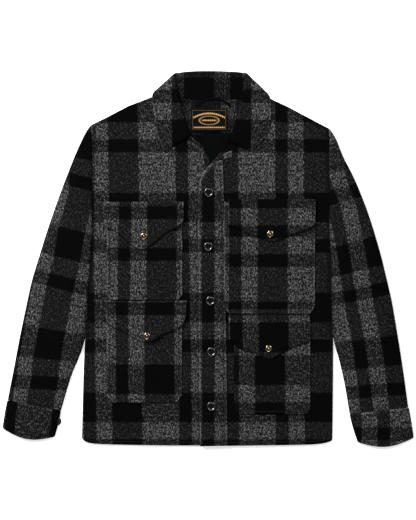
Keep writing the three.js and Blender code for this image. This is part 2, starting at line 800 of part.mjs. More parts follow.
for (const pocket of POCKETS) {
  const rests = pocket.bag.left < 0 ? rightFrontRests : leftFrontRests;
  const { left, right, top, bottom, corner } = pocket.bag;
  const low = bottom + corner;
  addSheet({
    name: `pocket_${pocket.name}`,
    patch: patchBetween({
      lower: straightLine([
        { x: left, y: low },
        { x: left + corner * 0.8, y: bottom },
        { x: right - corner * 0.8, y: bottom },
        { x: right, y: low },
      ]),
      upper: straightLine([{ x: left, y: top }, { x: right, y: top }]),
      first: straightLine([{ x: left, y: low }, { x: left, y: top }]),
      last: straightLine([{ x: right, y: low }, { x: right, y: top }]),
    }),
    across: right - left,
    along: top - bottom,
    columns: 9,
    rows: 9,
    rests: onFront(rests, 1),
    thick: CLOTH,
  });
  const ends = [pocket.flap[0], pocket.flap.at(-1)];
  const upperLeft = { x: ends[0].x, y: pocket.flapTop };
  const upperRight = { x: ends[1].x, y: pocket.flapTop };
  const flapRests = onFront(rests, 2);
  addSheet({
    name: `flap_${pocket.name}`,
    patch: patchBetween({
      lower: lineThrough(pocket.flap),
      upper: straightLine([upperLeft, upperRight]),
      first: straightLine([ends[0], upperLeft]),
      last: straightLine([ends[1], upperRight]),
    }),
    across: ends[1].x - ends[0].x,
    along: 70,
    columns: 12,
    rows: 4,
    rests: flapRests,
    thick: CLOTH,
  });
  addTurned({
    name: `snap_${pocket.name}`,
    profile: SNAP_PROFILE,
    radius: SNAP_RADIUS,
    height: SNAP_HEIGHT,
    ...pocket.snap,
    z: heightUnder(flapRests, pocket.snap, SNAP_RADIUS) + STEP,
    material: BRASS,
  });
}

BUTTONS.forEach((place, i) => {
  addTurned({
    name: `button_${i + 1}`,
    profile: BUTTON_PROFILE,
    radius: BUTTON_RADIUS,
    height: BUTTON_HEIGHT,
    ...place,
    z: heightUnder(bandRests, place, BUTTON_RADIUS) + STEP,
    material: HORN,
  });
});

// The cuff's button sits on the fold at the cuff's inner edge and is seen nearly edge on.
addTurned({
  name: "button_cuff",
  profile: BUTTON_PROFILE,
  radius: CUFF_BUTTON_RADIUS,
  height: CUFF_BUTTON_HEIGHT,
  ...CUFF_BUTTON,
  material: HORN,
});

export default jacket;
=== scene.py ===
# %% [markdown]
# A mackinaw jacket is a short work coat of thick, fulled plaid wool. This one is buttoned up and
# laid flat on its back. The frame says where each of its pieces is, and this script dresses them.
# Everything is worked out in millimetres, as a tailor would, and becomes metres in the meshes.

# %% Load the frame
import math

import bpy
import numpy as np
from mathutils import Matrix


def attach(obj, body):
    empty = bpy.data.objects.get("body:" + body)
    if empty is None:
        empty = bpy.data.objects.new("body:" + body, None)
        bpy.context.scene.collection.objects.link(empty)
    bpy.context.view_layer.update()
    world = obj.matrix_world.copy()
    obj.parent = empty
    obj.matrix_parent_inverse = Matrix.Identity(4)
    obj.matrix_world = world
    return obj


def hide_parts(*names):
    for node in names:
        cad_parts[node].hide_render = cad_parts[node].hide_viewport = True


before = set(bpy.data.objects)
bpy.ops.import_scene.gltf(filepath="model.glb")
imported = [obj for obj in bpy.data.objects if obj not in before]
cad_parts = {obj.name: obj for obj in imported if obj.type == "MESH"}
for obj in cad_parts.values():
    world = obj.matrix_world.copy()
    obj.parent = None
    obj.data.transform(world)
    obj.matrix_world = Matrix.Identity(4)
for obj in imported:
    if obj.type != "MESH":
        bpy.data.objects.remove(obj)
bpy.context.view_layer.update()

MM = 0.001
CLOTH = 2.8
FACING, LINING, TAPE, LABEL = 2.0, 1.0, 1.2, 0.6
GAP = 0.4
STEP = CLOTH + GAP
SEAM_INSET = 6.4
print("frame of", len(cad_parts), "nodes")

# %% [markdown]
# The photograph was taken from straight above with a long lens, so the camera looks straight
# down. It takes in 894 mm of cloth from side to side. The light is a studio's: a broad soft
# source past the collar, a weaker one at the left, and a pale surface below.

# %% Camera, lights and floor
CAMERA_HEIGHT = 3600
FRAME_WIDTH = 894.4
FRAME_MIDDLE = (-0.2, -1.3)
SENSOR = 36.0
AMBIENT = 0.12
STUDIO = bpy.context.scene.collection


def add_to_studio(name, data):
    thing = bpy.data.objects.new(name, data)
    STUDIO.objects.link(thing)
    return thing


def add_camera():
    data = bpy.data.cameras.new("camera")
    data.sensor_fit = "HORIZONTAL"
    data.sensor_width = SENSOR
    data.lens = SENSOR * CAMERA_HEIGHT / FRAME_WIDTH
    camera = add_to_studio("camera", data)
    camera.location = (FRAME_MIDDLE[0] * MM, FRAME_MIDDLE[1] * MM, CAMERA_HEIGHT * MM)
    bpy.context.scene.camera = camera


def add_area(name, place, size, power):
    """A rectangular light, in metres and watts, that looks at the middle of the jacket."""
    data = bpy.data.lights.new(name, "AREA")
    data.shape = "RECTANGLE"
    data.size, data.size_y = size
    data.energy = power
    light = add_to_studio(name, data)
    light.location = place
    x, y, z = place
    light.rotation_euler = (math.atan2(math.hypot(x, y), z), 0, math.atan2(y, x) + math.pi / 2)


add_camera()
add_area("key_light", (-2.5, 2.7, 2.9), (1.8, 1.8), 430)
add_area("side_light", (2.8, 2.4, 3.4), (1.8, 2.4), 100)
add_area("fill_light", (-0.5, -3.8, 3.2), (2.4, 1.6), 75)
world = bpy.data.worlds.new("studio")
bpy.context.scene.world = world
world.use_nodes = True
background = world.node_tree.nodes["Background"].inputs
background["Color"].default_value = (1, 1, 1, 1)
background["Strength"].default_value = AMBIENT
# A plain transform keeps the paper white and the black yarn black, as a studio print does.
bpy.context.scene.view_settings.view_transform = "Standard"
print("camera", CAMERA_HEIGHT, "mm up, three lights")

# %% [markdown]
# Shader maths reads best as arithmetic. A small class wraps a socket, so that an expression such
# as 1 - stripe adds its own Math nodes. Colours go through Mix nodes, because a Math node would
# turn them grey.

# %% Shader expressions


def joining(operation, swapped=False):
    """An operator that adds a Math node with its two sides."""

    def apply(self, other):
        sides = (other, self) if swapped else (self, other)
        return self.maths(operation, *sides)

    return apply


class Signal:
    """A number or a colour on its way through a material's nodes."""

    def __init__(self, shade, socket):
        self.shade = shade
        self.socket = socket

    def maths(self, operation, first, second):
        settings = {"operation": operation}
        return self.shade.node("ShaderNodeMath", settings, {0: first, 1: second})

    __add__ = joining("ADD")
    __radd__ = joining("ADD", swapped=True)
    __sub__ = joining("SUBTRACT")
    __rsub__ = joining("SUBTRACT", swapped=True)
    __mul__ = joining("MULTIPLY")
    __mod__ = joining("FLOORED_MODULO")

    def size(self):
        """The number without its sign."""
        return self.maths("ABSOLUTE", self, 0)

    def eased(self, low, high, to_low=0, to_high=1):
        """Goes smoothly from to_low to to_high between two values."""
        settings = {"interpolation_type": "SMOOTHSTEP"}
        inputs = {0: self, 1: low, 2: high, 3: to_low, 4: to_high}
        return self.shade.node("ShaderNodeMapRange", settings, inputs)

    def within(self, low, high, soft):
        """1 between low and high and 0 outside them, with a soft step at each."""
        return self.eased(low - soft, low + soft) - self.eased(high - soft, high + soft)

    def clamped(self):
        return self.shade.node("ShaderNodeClamp", {}, {0: self})


class Shade:
    """A material, with short ways to add its nodes."""

    def __init__(self, name):
        self.material = bpy.data.materials.new(name)
        self.material.use_nodes = True
        self.tree = self.material.node_tree
        self.shader = self.tree.nodes["Principled BSDF"]

    def node(self, kind, settings, inputs, out=0):
        """Adds a node with its settings and inputs, and gives one of its outputs."""
        node = self.tree.nodes.new(kind)
        for key, value in settings.items():
            setattr(node, key, value)
        for key, value in inputs.items():
            self.feed(node.inputs[key], value)
        return Signal(self, node.outputs[out])

    def feed(self, socket, value):
        if isinstance(value, Signal):
            self.tree.links.new(value.socket, socket)
        elif isinstance(value, tuple) and socket.type == "RGBA":
            socket.default_value = (*value, 1)
        else:
            socket.default_value = value

    def wear(self, **sockets):
        """Sets the shader's own sockets, an underscore for each space in their names."""
        for key, value in sockets.items():
            self.feed(self.shader.inputs[key.replace("_", " ")], value)

    def mix(self, factor, low, high):
        return self.node("ShaderNodeMix", {"data_type": "RGBA"}, {0: factor, 6: low, 7: high}, 2)

    def noise(self, place, scale, detail=2.0, rough=0.6):
        inputs = {"Vector": place, "Scale": scale, "Detail": detail, "Roughness": rough}
        return self.node("ShaderNodeTexNoise", {}, inputs)

    def bump(self, height, distance, strength=1.0):
        inputs = {"Strength": strength, "Distance": distance, "Height": height}
        return self.node("ShaderNodeBump", {}, inputs)

    def place(self):
        """Where a point is on the jacket, in metres."""
        return self.node("ShaderNodeTexCoord", {}, {}, 3)

    def measured(self, name):
        """A number that the mesh holds at each point, such as how far inside an edge it is."""
        return self.node("ShaderNodeAttribute", {"attribute_name": name}, {}, 2)

    def cloth_spot(self):
        return self.node("ShaderNodeUVMap", {"uv_map": "cloth"}, {})

    def stretched(self, by):
        """The cloth map drawn out along or across the bolt."""
        inputs = {0: self.cloth_spot(), 1: by}
        return self.node("ShaderNodeVectorMath", {"operation": "MULTIPLY"}, inputs)

    def cloth_map(self):
        """The cloth's own map: metres across and along the bolt, as two numbers."""
        parts = self.node("ShaderNodeSeparateXYZ", {}, {0: self.cloth_spot()})
        return parts, Signal(self, parts.socket.node.outputs[1])


def tint(level):
    """A neutral colour in linear light, from the level that a screen shows, 0 to 255."""
    share = level / 255
    linear = ((share + 0.055) / 1.055) ** 2.4 if share > 0.04 else share / 12.92
    return (linear, linear, linear)


print("shader expressions ready")

# %% [markdown]
# The plaid is a common check of two yarns, a heather grey and a black. Across the bolt it runs
# wide black, wide grey, narrow black, narrow grey, and along it wide black, narrow grey, narrow
# black, wide grey. Grey over grey is light and speckled, black over black is nearly plain, and
# the mixed squares lie between. The map called cloth says where on the bolt each point was cut.

# %% Plaid wool
COLUMNS = (64.5, 79.5, 26.9, 34.4)
ROWS = (63.4, 36.6, 28.0, 86.6)
STRIPE_BLUR = 1.5
COLUMN_COVER, ROW_COVER, BOTH_COVER = 0.60, 0.30, 0.10
FLECK_LEVEL, FLECK_CONTRAST = 0.577, 7.5
RIM_LIGHT_REACH = (1.2, 3.2)
PAINTED_SHADE_DEPTH = 0.62


def plaid_wool(name):
    s = Shade(name)
    across, along = s.cloth_map()
    spot = s.place()
    frayed = (s.noise(spot, 300, 2, 0.7) - 0.5) * 0.006 + (s.noise(spot, 38, 1, 0.5) - 0.5) * 0.003
    column = stripe_cover(across + frayed, COLUMNS)
    row = stripe_cover(along + frayed, ROWS)
    # Fibres lie along the bolt, so the speckle is drawn out lengthwise.
    grain = s.stretched((1.0, 0.62, 1.0))
    fibre = s.noise(grain, 360, 3, 0.75)
    fleck = s.noise(grain, 900, 2, 0.7)
    tuft = s.noise(s.stretched((1.0, 0.5, 1.0)), 190, 1, 0.5)
    tone = fibre * 0.76 + fleck * 0.18 + tuft * 0.15 - 0.045
    cloud = (s.noise(grain, 24, 3, 0.65) - 0.5) * 0.05
    # A grey stripe along the bolt hides more of the black yarn than one across it.
    cover = column * COLUMN_COVER + row * ROW_COVER + column * row * BOTH_COVER
    # A paler rim along each free edge is a painted highlight, where the nap would catch the light.
    # Along a seam's line the wool is darker, part dark stitching and part painted shade in its ditch.
    painted_rim_light = s.measured("edge").eased(*RIM_LIGHT_REACH, 1, 0)
    seam = s.measured("seam").within(SEAM_INSET - 0.8, SEAM_INSET + 0.8, 0.7)
    # The more of the grey yarn lies on top, the more of the surface is a pale fleck.
    least = FLECK_LEVEL - cover * 0.080 - cloud - painted_rim_light * cover * 0.03 + seam * 0.06
    fleck_share = ((tone - least) * FLECK_CONTRAST).clamped()
    haze = (cover * 0.13 + row * 0.03) * tone.eased(0.36, 0.64) + painted_rim_light * cover * 0.08
    # Painted shade: the wool is darkened as far as the mesh marks it, beside a higher piece, in a
    # hollow and in a seam's ditch.
    lit = 1 - s.measured("painted_shade") * PAINTED_SHADE_DEPTH
    pale = s.mix(fleck.eased(0.35, 0.65), tint(70), tint(116))
    black = s.mix(fleck.eased(0.35, 0.7), tint(3), tint(10))
    share = fleck_share * (0.06 + cover * 0.94) * cover.eased(0, 0.08) + haze
    s.wear(Base_Color=s.mix((share * lit).clamped(), black, pale))
    s.wear(Roughness=tone.eased(0.3, 0.7, 0.98, 0.88))
    s.wear(Normal=s.bump(tone, 0.0012, 0.7))
    s.wear(Sheen_Weight=0.01, Sheen_Roughness=0.4, Specular_IOR_Level=0.0)
    return s.material


def stripe_cover(place, widths):
    """1 on the bolt's grey stripes and 0 on its black ones. The first is black and starts at 0."""
    black, first, narrow, second = (width * MM for width in widths)
    soft = STRIPE_BLUR * MM
    middle = black / 2
    # Counted from the middle of the wide black stripe, so that no grey one wraps round.
    at = (place - middle) % (black + first + narrow + second)
    near = black - middle
    thin = near + first + narrow
    return at.within(near, near + first, soft) + at.within(thin, thin + second, soft)


WOOL = plaid_wool("wool_plaid")
print("plaid repeats every", sum(COLUMNS), "by", sum(ROWS), "mm")

# %% [markdown]
# The jacket has four more finishes: a dark smooth lining, black thread, black horn buttons with a
# glossy rim round a dull face, and brass snaps with a blackened middle.

# %% Lining, thread, horn and brass


def smooth_lining():
    s = Shade("lining")
    spot = s.place()
    weave = s.noise(spot, 1400, 2, 0.5)
    broad = s.noise(spot, 30, 2, 0.5)
    s.wear(Base_Color=s.mix(broad, (0.0008, 0.0013, 0.0011), (0.0020, 0.0028, 0.0025)))
    s.wear(Roughness=weave.eased(0.3, 0.7, 0.62, 0.74))
    s.wear(Normal=s.bump(weave, 0.0002, 0.4))
    s.wear(Sheen_Weight=0.01, Specular_IOR_Level=0.0)
    return s.material


def spun_thread():
    s = Shade("thread")
    spin = s.noise(s.place(), 2200, 1, 0.5)
    s.wear(Base_Color=s.mix(spin, tint(12), tint(34)), Roughness=0.8)
    s.wear(Normal=s.bump(spin, 0.0002, 0.5))
    s.wear(Specular_IOR_Level=0.3)
    return s.material


def polished_horn(name, rough, shine):
    s = Shade(name)
    spot = s.place()
    streak = s.noise(spot, 120, 3, 0.6)
    s.wear(Base_Color=s.mix(streak, (0.0010, 0.0010, 0.0011), (0.0035, 0.0032, 0.0030)))
    s.wear(Roughness=streak.eased(0.3, 0.8, rough, rough + 0.06))
    s.wear(Coat_Weight=0.5 * shine, Coat_Roughness=rough * 0.8, Specular_IOR_Level=0.8 * shine)
    return s.material


def worn_brass(name, light, dark, rough):
    s = Shade(name)
    spot = s.place()
    tarnish = s.noise(spot, 260, 3, 0.7)
    s.wear(Base_Color=s.mix(tarnish.eased(0.35, 0.7), light, dark), Metallic=1.0)
    s.wear(Roughness=tarnish.eased(0.3, 0.7, rough, rough + 0.16))
    s.wear(Normal=s.bump(tarnish, 0.0001, 0.3))
    return s.material


LINING_CLOTH = smooth_lining()
THREAD = spun_thread()
HORN = polished_horn("button_horn", 0.24, 0.8)
HORN_FACE = polished_horn("button_face", 0.5, 0.06)
BRASS = worn_brass("snap_brass", (0.60, 0.47, 0.27), (0.24, 0.17, 0.09), 0.13)
DARK_BRASS = worn_brass("snap_middle", (0.05, 0.045, 0.035), (0.02, 0.018, 0.015), 0.3)
print(len(bpy.data.materials), "materials")

# %% [markdown]
# A cut piece of cloth is a patch between four lines: two that run across it and two along it. A
# patch blended from its edges follows a tailor's pattern with few points, and it gives an even
# grid to raise folds and seams on. The lines repeat the CAD source's tables.

# %% Lines and patches


def smooth_rows(table, fine=12):
    """The rows of a table, with fine - 1 more between each two, on a smooth line through them."""
    p = np.array(table, float)
    knots = np.r_[0, np.cumsum(np.linalg.norm(np.diff(p, axis=0), axis=1) ** 0.5)]
    slopes = np.gradient(p, knots, axis=0)
    t = np.linspace(0, 1, fine, endpoint=False)[:, None]
    runs = []
    for i, span in enumerate(np.diff(knots)):
        start = (2 * t**3 - 3 * t**2 + 1) * p[i] + (t**3 - 2 * t**2 + t) * span * slopes[i]
        end = (3 * t**2 - 2 * t**3) * p[i + 1] + (t**3 - t**2) * span * slopes[i + 1]
        runs.append(start + end)
    return np.vstack([*runs, p[-1:]])


def straight(*points):
    """Straight runs through points, as a function of 0 to 1 along their length."""
    p = np.array(points, float)
    far = np.r_[0, np.cumsum(np.linalg.norm(np.diff(p, axis=0), axis=1))]

    def at(t):
        reach = np.clip(t, 0, 1) * far[-1]
        return np.stack([np.interp(reach, far, column) for column in p.T], -1)

    return at


def smooth(*points):
    """A smooth line through points, as a function of 0 to 1 along its length."""
    return straight(*smooth_rows(points))


def patch(lower, upper, first, last):
    """A surface between four lines: lower and upper run in u, first and last in v."""
    a, b, c, d = lower(0), lower(1), upper(0), upper(1)

    def at(u, v):
        s, t = u[..., None], v[..., None]
        between = (1 - t) * lower(u) + t * upper(u) + (1 - s) * first(v) + s * last(v)
        corners = (1 - s) * (1 - t) * a + s * (1 - t) * b + (1 - s) * t * c + s * t * d
        return between - corners

    return at


def between(lower, upper):
    """A patch with straight ends between two rows of points that run the same way."""
    ends = straight(lower[0], upper[0]), straight(lower[-1], upper[-1])
    return patch(smooth(*lower), smooth(*upper), *ends)


def ease(value, low, high):
    """Goes smoothly from 0 to 1 between two values."""
    t = np.clip((value - low) / (high - low), 0, 1)
    return t * t * (3 - 2 * t)


CHUNK = 4000


def distance_to(x, y, route):
    """How far each point is from a route, how far along the route its nearest point is, and the
    route's length. It is worked out a chunk of points at a time, to spare memory."""
    spots = np.stack([x.ravel(), y.ravel()], 1)
    starts = route[:-1]
    runs = route[1:] - starts
    lengths = np.maximum((runs**2).sum(1), 1e-9)
    reached = np.r_[0, np.cumsum(np.sqrt(lengths))]
    gap = np.empty(len(spots))
    along = np.empty(len(spots))
    for first in range(0, len(spots), CHUNK):
        part = slice(first, first + CHUNK)
        away = spots[part, None] - starts
        t = np.clip((away * runs).sum(2) / lengths, 0, 1)
        far = np.linalg.norm(t[..., None] * runs - away, axis=2)
        nearest = far.argmin(1)
        rows = np.arange(len(nearest))
        gap[part] = far[rows, nearest]
        along[part] = reached[nearest] + t[rows, nearest] * np.sqrt(lengths[nearest])
    return gap.reshape(x.shape), along.reshape(x.shape), reached[-1]


def groove(away, width):
    """1 on a line and less beside it, down to nothing at twice a width away."""
    return np.exp(-((away / width) ** 2))


def folds(x, y, table):
    """Soft ridges, or troughs where the height is negative: (route, width, height) each."""
    rise = np.zeros_like(x)
    for route, width, height in table:
        gap, along, length = distance_to(x, y, smooth(*route)(np.linspace(0, 1, 20)))
        ends = 0.35 * length
        fade = ease(along, 0, ends) * ease(length - along, 0, ends)
        rise = rise + height * fade * groove(gap, width)
    return rise


def edge_steps(length, pitch):
    """Even steps from 0 to 1, with close ones near both ends for the rounded edge and its seam."""
    near = np.array([0, 0.25, 0.8, 1.6, 2.6, 4, 5.2, 6.2, 7.2, 8.4, 10])
    near = near[near < length / 2] / length
    count = max(2, round(length * (1 - 2 * near[-1]) / pitch))
    return np.r_[near, np.linspace(near[-1], 1 - near[-1], count + 1)[1:-1], 1 - near[::-1]]


print("lines and patches ready")

# %% [markdown]
# Thick wool has no sharp edges: a turned edge is a half round, and the nap softens it more. Each
# sheet here is a closed shell whose two sides meet at mid thickness on the outline, so the edge
# rolls over as folded cloth does. Its cloth map is written with the mesh.

# %% Shells of cloth


def plaid(column, row, lean=0.0, turned=False):
    """Where on the bolt a point was cut, from where its wide black column and row start."""

    def at(x, y):
        across = x - column + lean * y
        return np.stack([-across if turned else across, row - y], -1)

    return at


def add_piece(name, mesh, *materials):
    for material in materials:
        mesh.materials.append(material)
    mesh.polygons.foreach_set("use_smooth", [True] * len(mesh.polygons))
    mesh.update()
    return add_to_studio(name, mesh)


def make_piece(name, points, faces, maps, map_faces, marks, material):
    """A closed mesh of quads with its cloth map and its marks, turned right side out."""
    points, faces = np.asarray(points), np.asarray(faces)
    a, b, c = (points[faces[:, i]] for i in (0, 1, 2))
    d = points[faces[:, 3]]
    inside_out = (np.cross(c - a, d - b) * (a + b + c + d)).sum() < 0
    if inside_out:
        faces, map_faces = faces[:, ::-1], np.asarray(map_faces)[:, ::-1]
    mesh = bpy.data.meshes.new(name)
    mesh.from_pydata((points * MM).tolist(), [], faces.tolist())
    layer = mesh.uv_layers.new(name="cloth")
    corners = np.asarray(maps)[np.asarray(map_faces).ravel()] * MM
    layer.data.foreach_set("uv", corners.ravel())
    for key, values in marks.items():
        mesh.attributes.new(key, "FLOAT", "POINT").data.foreach_set("value", values)
    return add_piece(name, mesh, material)


def quads(index):
    """Faces of a grid of point numbers."""
    a, b, c, d = index[:-1, :-1], index[:-1, 1:], index[1:, 1:], index[1:, :-1]
    return np.stack([a.ravel(), b.ravel(), c.ravel(), d.ravel()], 1)


def shell(name, upper, lower, maps, marks, material, round_about=False):
    """A closed shell from two grids of points that meet at their rims. Where the rows run round
    and close, the last column repeats the first, and only the first and last rows are rims. marks
    are numbers that the wool reads at each point: how far it is from a free edge, how far from any
    edge or seam, and how much painted shade darkens it beside a higher piece, in a hollow and in
    a seam's ditch."""
    rows, columns = upper.shape[:2]
    rim = np.zeros((rows, columns), bool)
    rim[[0, -1]] = True
    if not round_about:
        rim[:, [0, -1]] = True
    first = np.arange(rows * columns).reshape(rows, columns)
    second = np.where(rim, first, first + rows * columns)
    map_faces = np.vstack([quads(first), quads(first)[:, ::-1]])
    if round_about:
        first = np.c_[first[:, :-1], first[:, 0]]
        second = np.c_[second[:, :-1], second[:, 0]]
    faces = np.vstack([quads(first), quads(second)[:, ::-1]])
    points = np.vstack([upper.reshape(-1, 3), lower.reshape(-1, 3)])
    used = np.unique(faces)
    renumber = np.zeros(len(points), int)
    renumber[used] = np.arange(len(used))
    marks = {key: np.tile(values.ravel(), 2)[used] for key, values in marks.items()}
    maps = maps.reshape(-1, 2)
    return make_piece(name, points[used], renumber[faces], maps, map_faces, marks, material)


def rounded(inside, thick):
    """The share of a sheet's half thickness at a distance from its edge: a half round."""
    return np.sqrt(1 - (1 - np.clip(inside / (0.8 * thick), 0, 1)) ** 2)


SEAM_WIDTH, SEAM_DEPTH, SEAM_PAINTED_SHADE, SEAM_REACH = 1.3, 0.5, 0.85, 2.5


def sheet(
    name, shape, size, rests, bolt, thick=CLOTH, pitch=4.2, relief=None, material=WOOL,
    sewn_top=False, seams=(), painted_shade=None,
):
    """A flat piece of cloth over a patch, lying on what rests(x, y) gives. bolt(x, y) says where
    it was cut. relief(x, y, inside) raises its upper side, and painted_shade(x, y, inside) gives the
    painted shade that darkens it, by how far inside the edge a point is. seams are more stitched
    lines, each with a ditch and a line of painted shade along it."""
    u, v = np.meshgrid(edge_steps(size[0], pitch), edge_steps(size[1], pitch))
    xy = shape(u, v)
    x, y = xy[..., 0], xy[..., 1]
    outline = np.vstack([xy[0], xy[1:, -1], xy[-1, -2::-1], xy[-2::-1, 0]])
    inside = distance_to(x, y, outline)[0]
    inside[[0, -1]] = 0
    inside[:, [0, -1]] = 0
    lift = relief(x, y, inside) * ease(inside, 0, 3) if relief else np.zeros_like(x)
    seam = inside
    dark = painted_shade(x, y, inside) if painted_shade else np.zeros_like(x)
    for route in seams:
        gap = distance_to(x, y, np.array(route, float))[0]
        ditch = groove(gap, SEAM_WIDTH)
        seam = np.where(gap < SEAM_REACH, SEAM_INSET + gap, seam)
        # Painted shade darkens the seam's ditch.
        dark = np.maximum(dark, SEAM_PAINTED_SHADE * ditch)
        lift = lift - SEAM_DEPTH * ditch
    half = thick / 2 * rounded(inside, thick)
    middle = rests(x, y) + thick / 2
    upper = np.dstack([x, y, middle + half + lift])
    lower = np.dstack([x, y, middle - half + 0.7 * np.maximum(lift, 0)])
    free = inside
    if sewn_top:
        free = distance_to(x, y, np.vstack([xy[::-1, 0], xy[0, 1:], xy[1:, -1]]))[0]
    marks = {"edge": free, "seam": seam, "painted_shade": dark}
    return shell(name, upper, lower, bolt(x, y), marks, material)


def declare(piece, node):
    """Puts a finished piece in the place of its node, and hides the node."""
    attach(piece, "root")
    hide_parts(node)


print("shells ready")

# %% [markdown]
# The jacket lies in layers. Each height function says what is under a piece at a point, so that a
# pocket follows the front it is sewn to, and a flap follows its pocket. The swells are the slow
# rise and fall of heavy cloth that a hand smoothed out and left a little uneven.

# %% Heights of the layers
SWELLS = (
    (((-236, -340), (-232, -140), (-228, 30)), 17, 1.2),
    (((-45, -360), (-38, -200), (-36, -60)), 14, 0.9),
    (((-215, 262), (-160, 215), (-118, 150)), 26, 1.9),
    (((-230, 150), (-170, 160), (-90, 190)), 20, 1.1),
    (((236, 244), (180, 205), (120, 150)), 28, 1.7),
    (((246, -360), (243, -150), (240, 70)), 14, 1.1),
    (((80, 200), (150, 165), (232, 158)), 18, 0.9),
    (((-150, -340), (-120, -372), (-60, -380)), 16, 0.8),
    (((90, -350), (150, -368), (210, -350)), 14, 0.8),
)


SLOPE_END, SLOPE_WIDTH, SLOPE_TOP = 250, 215, (195, 330)


def swell(x, y):
    """The fronts' slow rise and fall: a wide ripple away from the sides, and a few broad folds."""
    wide = 0.35 * (1 + np.sin((x + 60) / 62) * np.cos((y - 40) / 88))
    wide = wide * (1 - ease(np.abs(x), 205, 248)) * (1 - ease(np.abs(y + 90), 220, 300))
    return wide + folds(x, y, SWELLS)


def flat_at(height):
    return lambda x, y: np.full_like(x, height)


def on_right_front(x, y):
    return STEP + swell(x, y)


def on_left_front(x, y):
    """The left front comes down from the right one's edge to the back in one even slope."""
    slope = np.clip((SLOPE_END - x) / SLOPE_WIDTH, 0, 1)
    return STEP + (STEP + GAP) * slope * (1 - ease(y, *SLOPE_TOP)) + swell(x, y)


def on_fronts(x, y):
    return np.where(x < 0, on_right_front(x, y), on_left_front(x, y))


def layers_up(rests, layers):
    """The height of what lies on a number of layers of cloth over another height."""
    return lambda x, y: rests(x, y) + layers * STEP


on_surface, on_back = flat_at(0), flat_at(STEP)
on_facing = flat_at(STEP + FACING + GAP)
print("layers ready")

# %% [markdown]
# The body is a back and two fronts. The sides flare a little to the hem, whose corners are round,
# the shoulders slope, and the left front laps over the right one. Its corner turns back where the
# neck is left open.

# %% Body panels
HEM_Y = -399.6
HEM_INSET = 7
SIDE_RIGHT = (
    (-271.1, -382.9), (-269, -302.3), (-266.8, -227), (-264, -171.1), (-261, -108.8), (-256.7, -33.5),
    (-251.4, 41.7), (-251.4, 114.8), (-250.6, 213.7), (-249.8, 289.2),
)
SIDE_LEFT = (
    (267, -385.1), (267.9, -302.3), (268.5, -227), (268.5, -175.4), (267, -108.8), (265.4, -33.5),
    (264.6, 41.7), (263, 136.3), (261.4, 218), (260, 280.9),
)
SHOULDER_RIGHT = ((-249.8, 289.2), (-214.1, 306.8), (-172.4, 328.9), (-123, 348), (-95.5, 358.2))
SHOULDER_LEFT = ((260, 280.9), (214.6, 304.7), (172.6, 327.2), (135, 344.5), (106, 357.6))
NECK_FRONT_RIGHT = ((-93.5, 334.1), (-82.5, 304), (-66.7, 276.1), (-46, 254.5))
NECK_FRONT_LEFT = ((99.5, 332), (86.5, 299.7), (71.5, 265.3), (58.5, 237))
NECK_BACK = ((-76, 345.5), (-55, 337), (-2, 331.5), (60, 336.5), (86, 345.5))
HEM_RIGHT = ((-271.1, -382.9), (-267.9, -388.3), (-260.4, -392.6), (-243.2, -395.8), (-189.4, -398))
HEM_LEFT = ((197.6, -398.2), (236.3, -396.5), (255.6, -393), (264.9, -389.4), (267, -385.1))
EDGE_UNDER = (
    (29.9, HEM_Y), (29.9, -87.3), (29.9, 130), (10.5, 179.3), (-6.7, 205.1), (-15, 235.2), (-46, 254.5),
)
EDGE_OVER = (
    (-17.4, HEM_Y - 1.2), (-19.6, -87.3), (-19.6, 149.2), (-13.1, 181.5), (17, 215.9), (58.5, 237),
)
BAND_INNER = ((41.7, HEM_Y), (38, -119.5), (33.6, 149.2), (31, 213))


def turned_edge(x, y, inside):
    """The soft ditch where the edge's stitched allowance ends."""
    return -0.35 * groove(inside - HEM_INSET, 1.8)


RIGHT_SIZE, LEFT_SIZE = (300, 690), (285, 680)
RIGHT_BOLT = plaid(-210.9, 357.8, 0.015)
LEFT_BOLT = plaid(0.8, 357.8, 0.003)
right_side, left_side = smooth(*SIDE_RIGHT), smooth(*SIDE_LEFT)
back_shape = patch(
    smooth(*HEM_RIGHT, (0, HEM_Y), *HEM_LEFT),
    straight(*SHOULDER_RIGHT, *NECK_BACK, *SHOULDER_LEFT[::-1]),
    right_side,
    left_side,
)
right_shape = patch(
    smooth(*HEM_RIGHT, (-80, HEM_Y), EDGE_UNDER[0]),
    straight(*SHOULDER_RIGHT, *NECK_FRONT_RIGHT),
    right_side,
    smooth(*EDGE_UNDER),
)
left_shape = patch(
    smooth(EDGE_OVER[0], (90, HEM_Y), *HEM_LEFT),
    straight(*NECK_FRONT_LEFT[::-1], *SHOULDER_LEFT[::-1]),
    smooth(*EDGE_OVER),
    left_side,
)
back = sheet("cloth_back", back_shape, (540, 720), on_surface, RIGHT_BOLT, pitch=7)
declare(back, "back")


def painted_shade_beside_sleeve(x, y, inside):
    """Painted shade on the fronts' side edges, as far down as a sleeve lies against them."""
    return (1 - ease(inside, 3, 12)) * (abs(x) > 200) * ease(y, -190, -150)


front_right = sheet(
    "cloth_front_right", right_shape, RIGHT_SIZE, on_right_front, RIGHT_BOLT,
    relief=turned_edge, painted_shade=painted_shade_beside_sleeve,
)
declare(front_right, "front_right")
front_left = sheet(
    "cloth_front_left", left_shape, LEFT_SIZE, on_left_front, LEFT_BOLT,
    relief=turned_edge, painted_shade=painted_shade_beside_sleeve,
)
declare(front_left, "front_left")

# %% [markdown]
# The button band is a doubled strip on the left front's edge, stitched down along both sides. Its
# double thickness stands a little higher than the front. A corner of the front's facing shows
# beside its top, where the neck is open.

# %% Button band and facing
BAND_SIZE, BAND_INSET = (56, 620), 5.2
on_left_cloth = layers_up(on_left_front, 1)
ROLLED = smooth(*EDGE_OVER)(np.linspace(0.78, 1, 40))


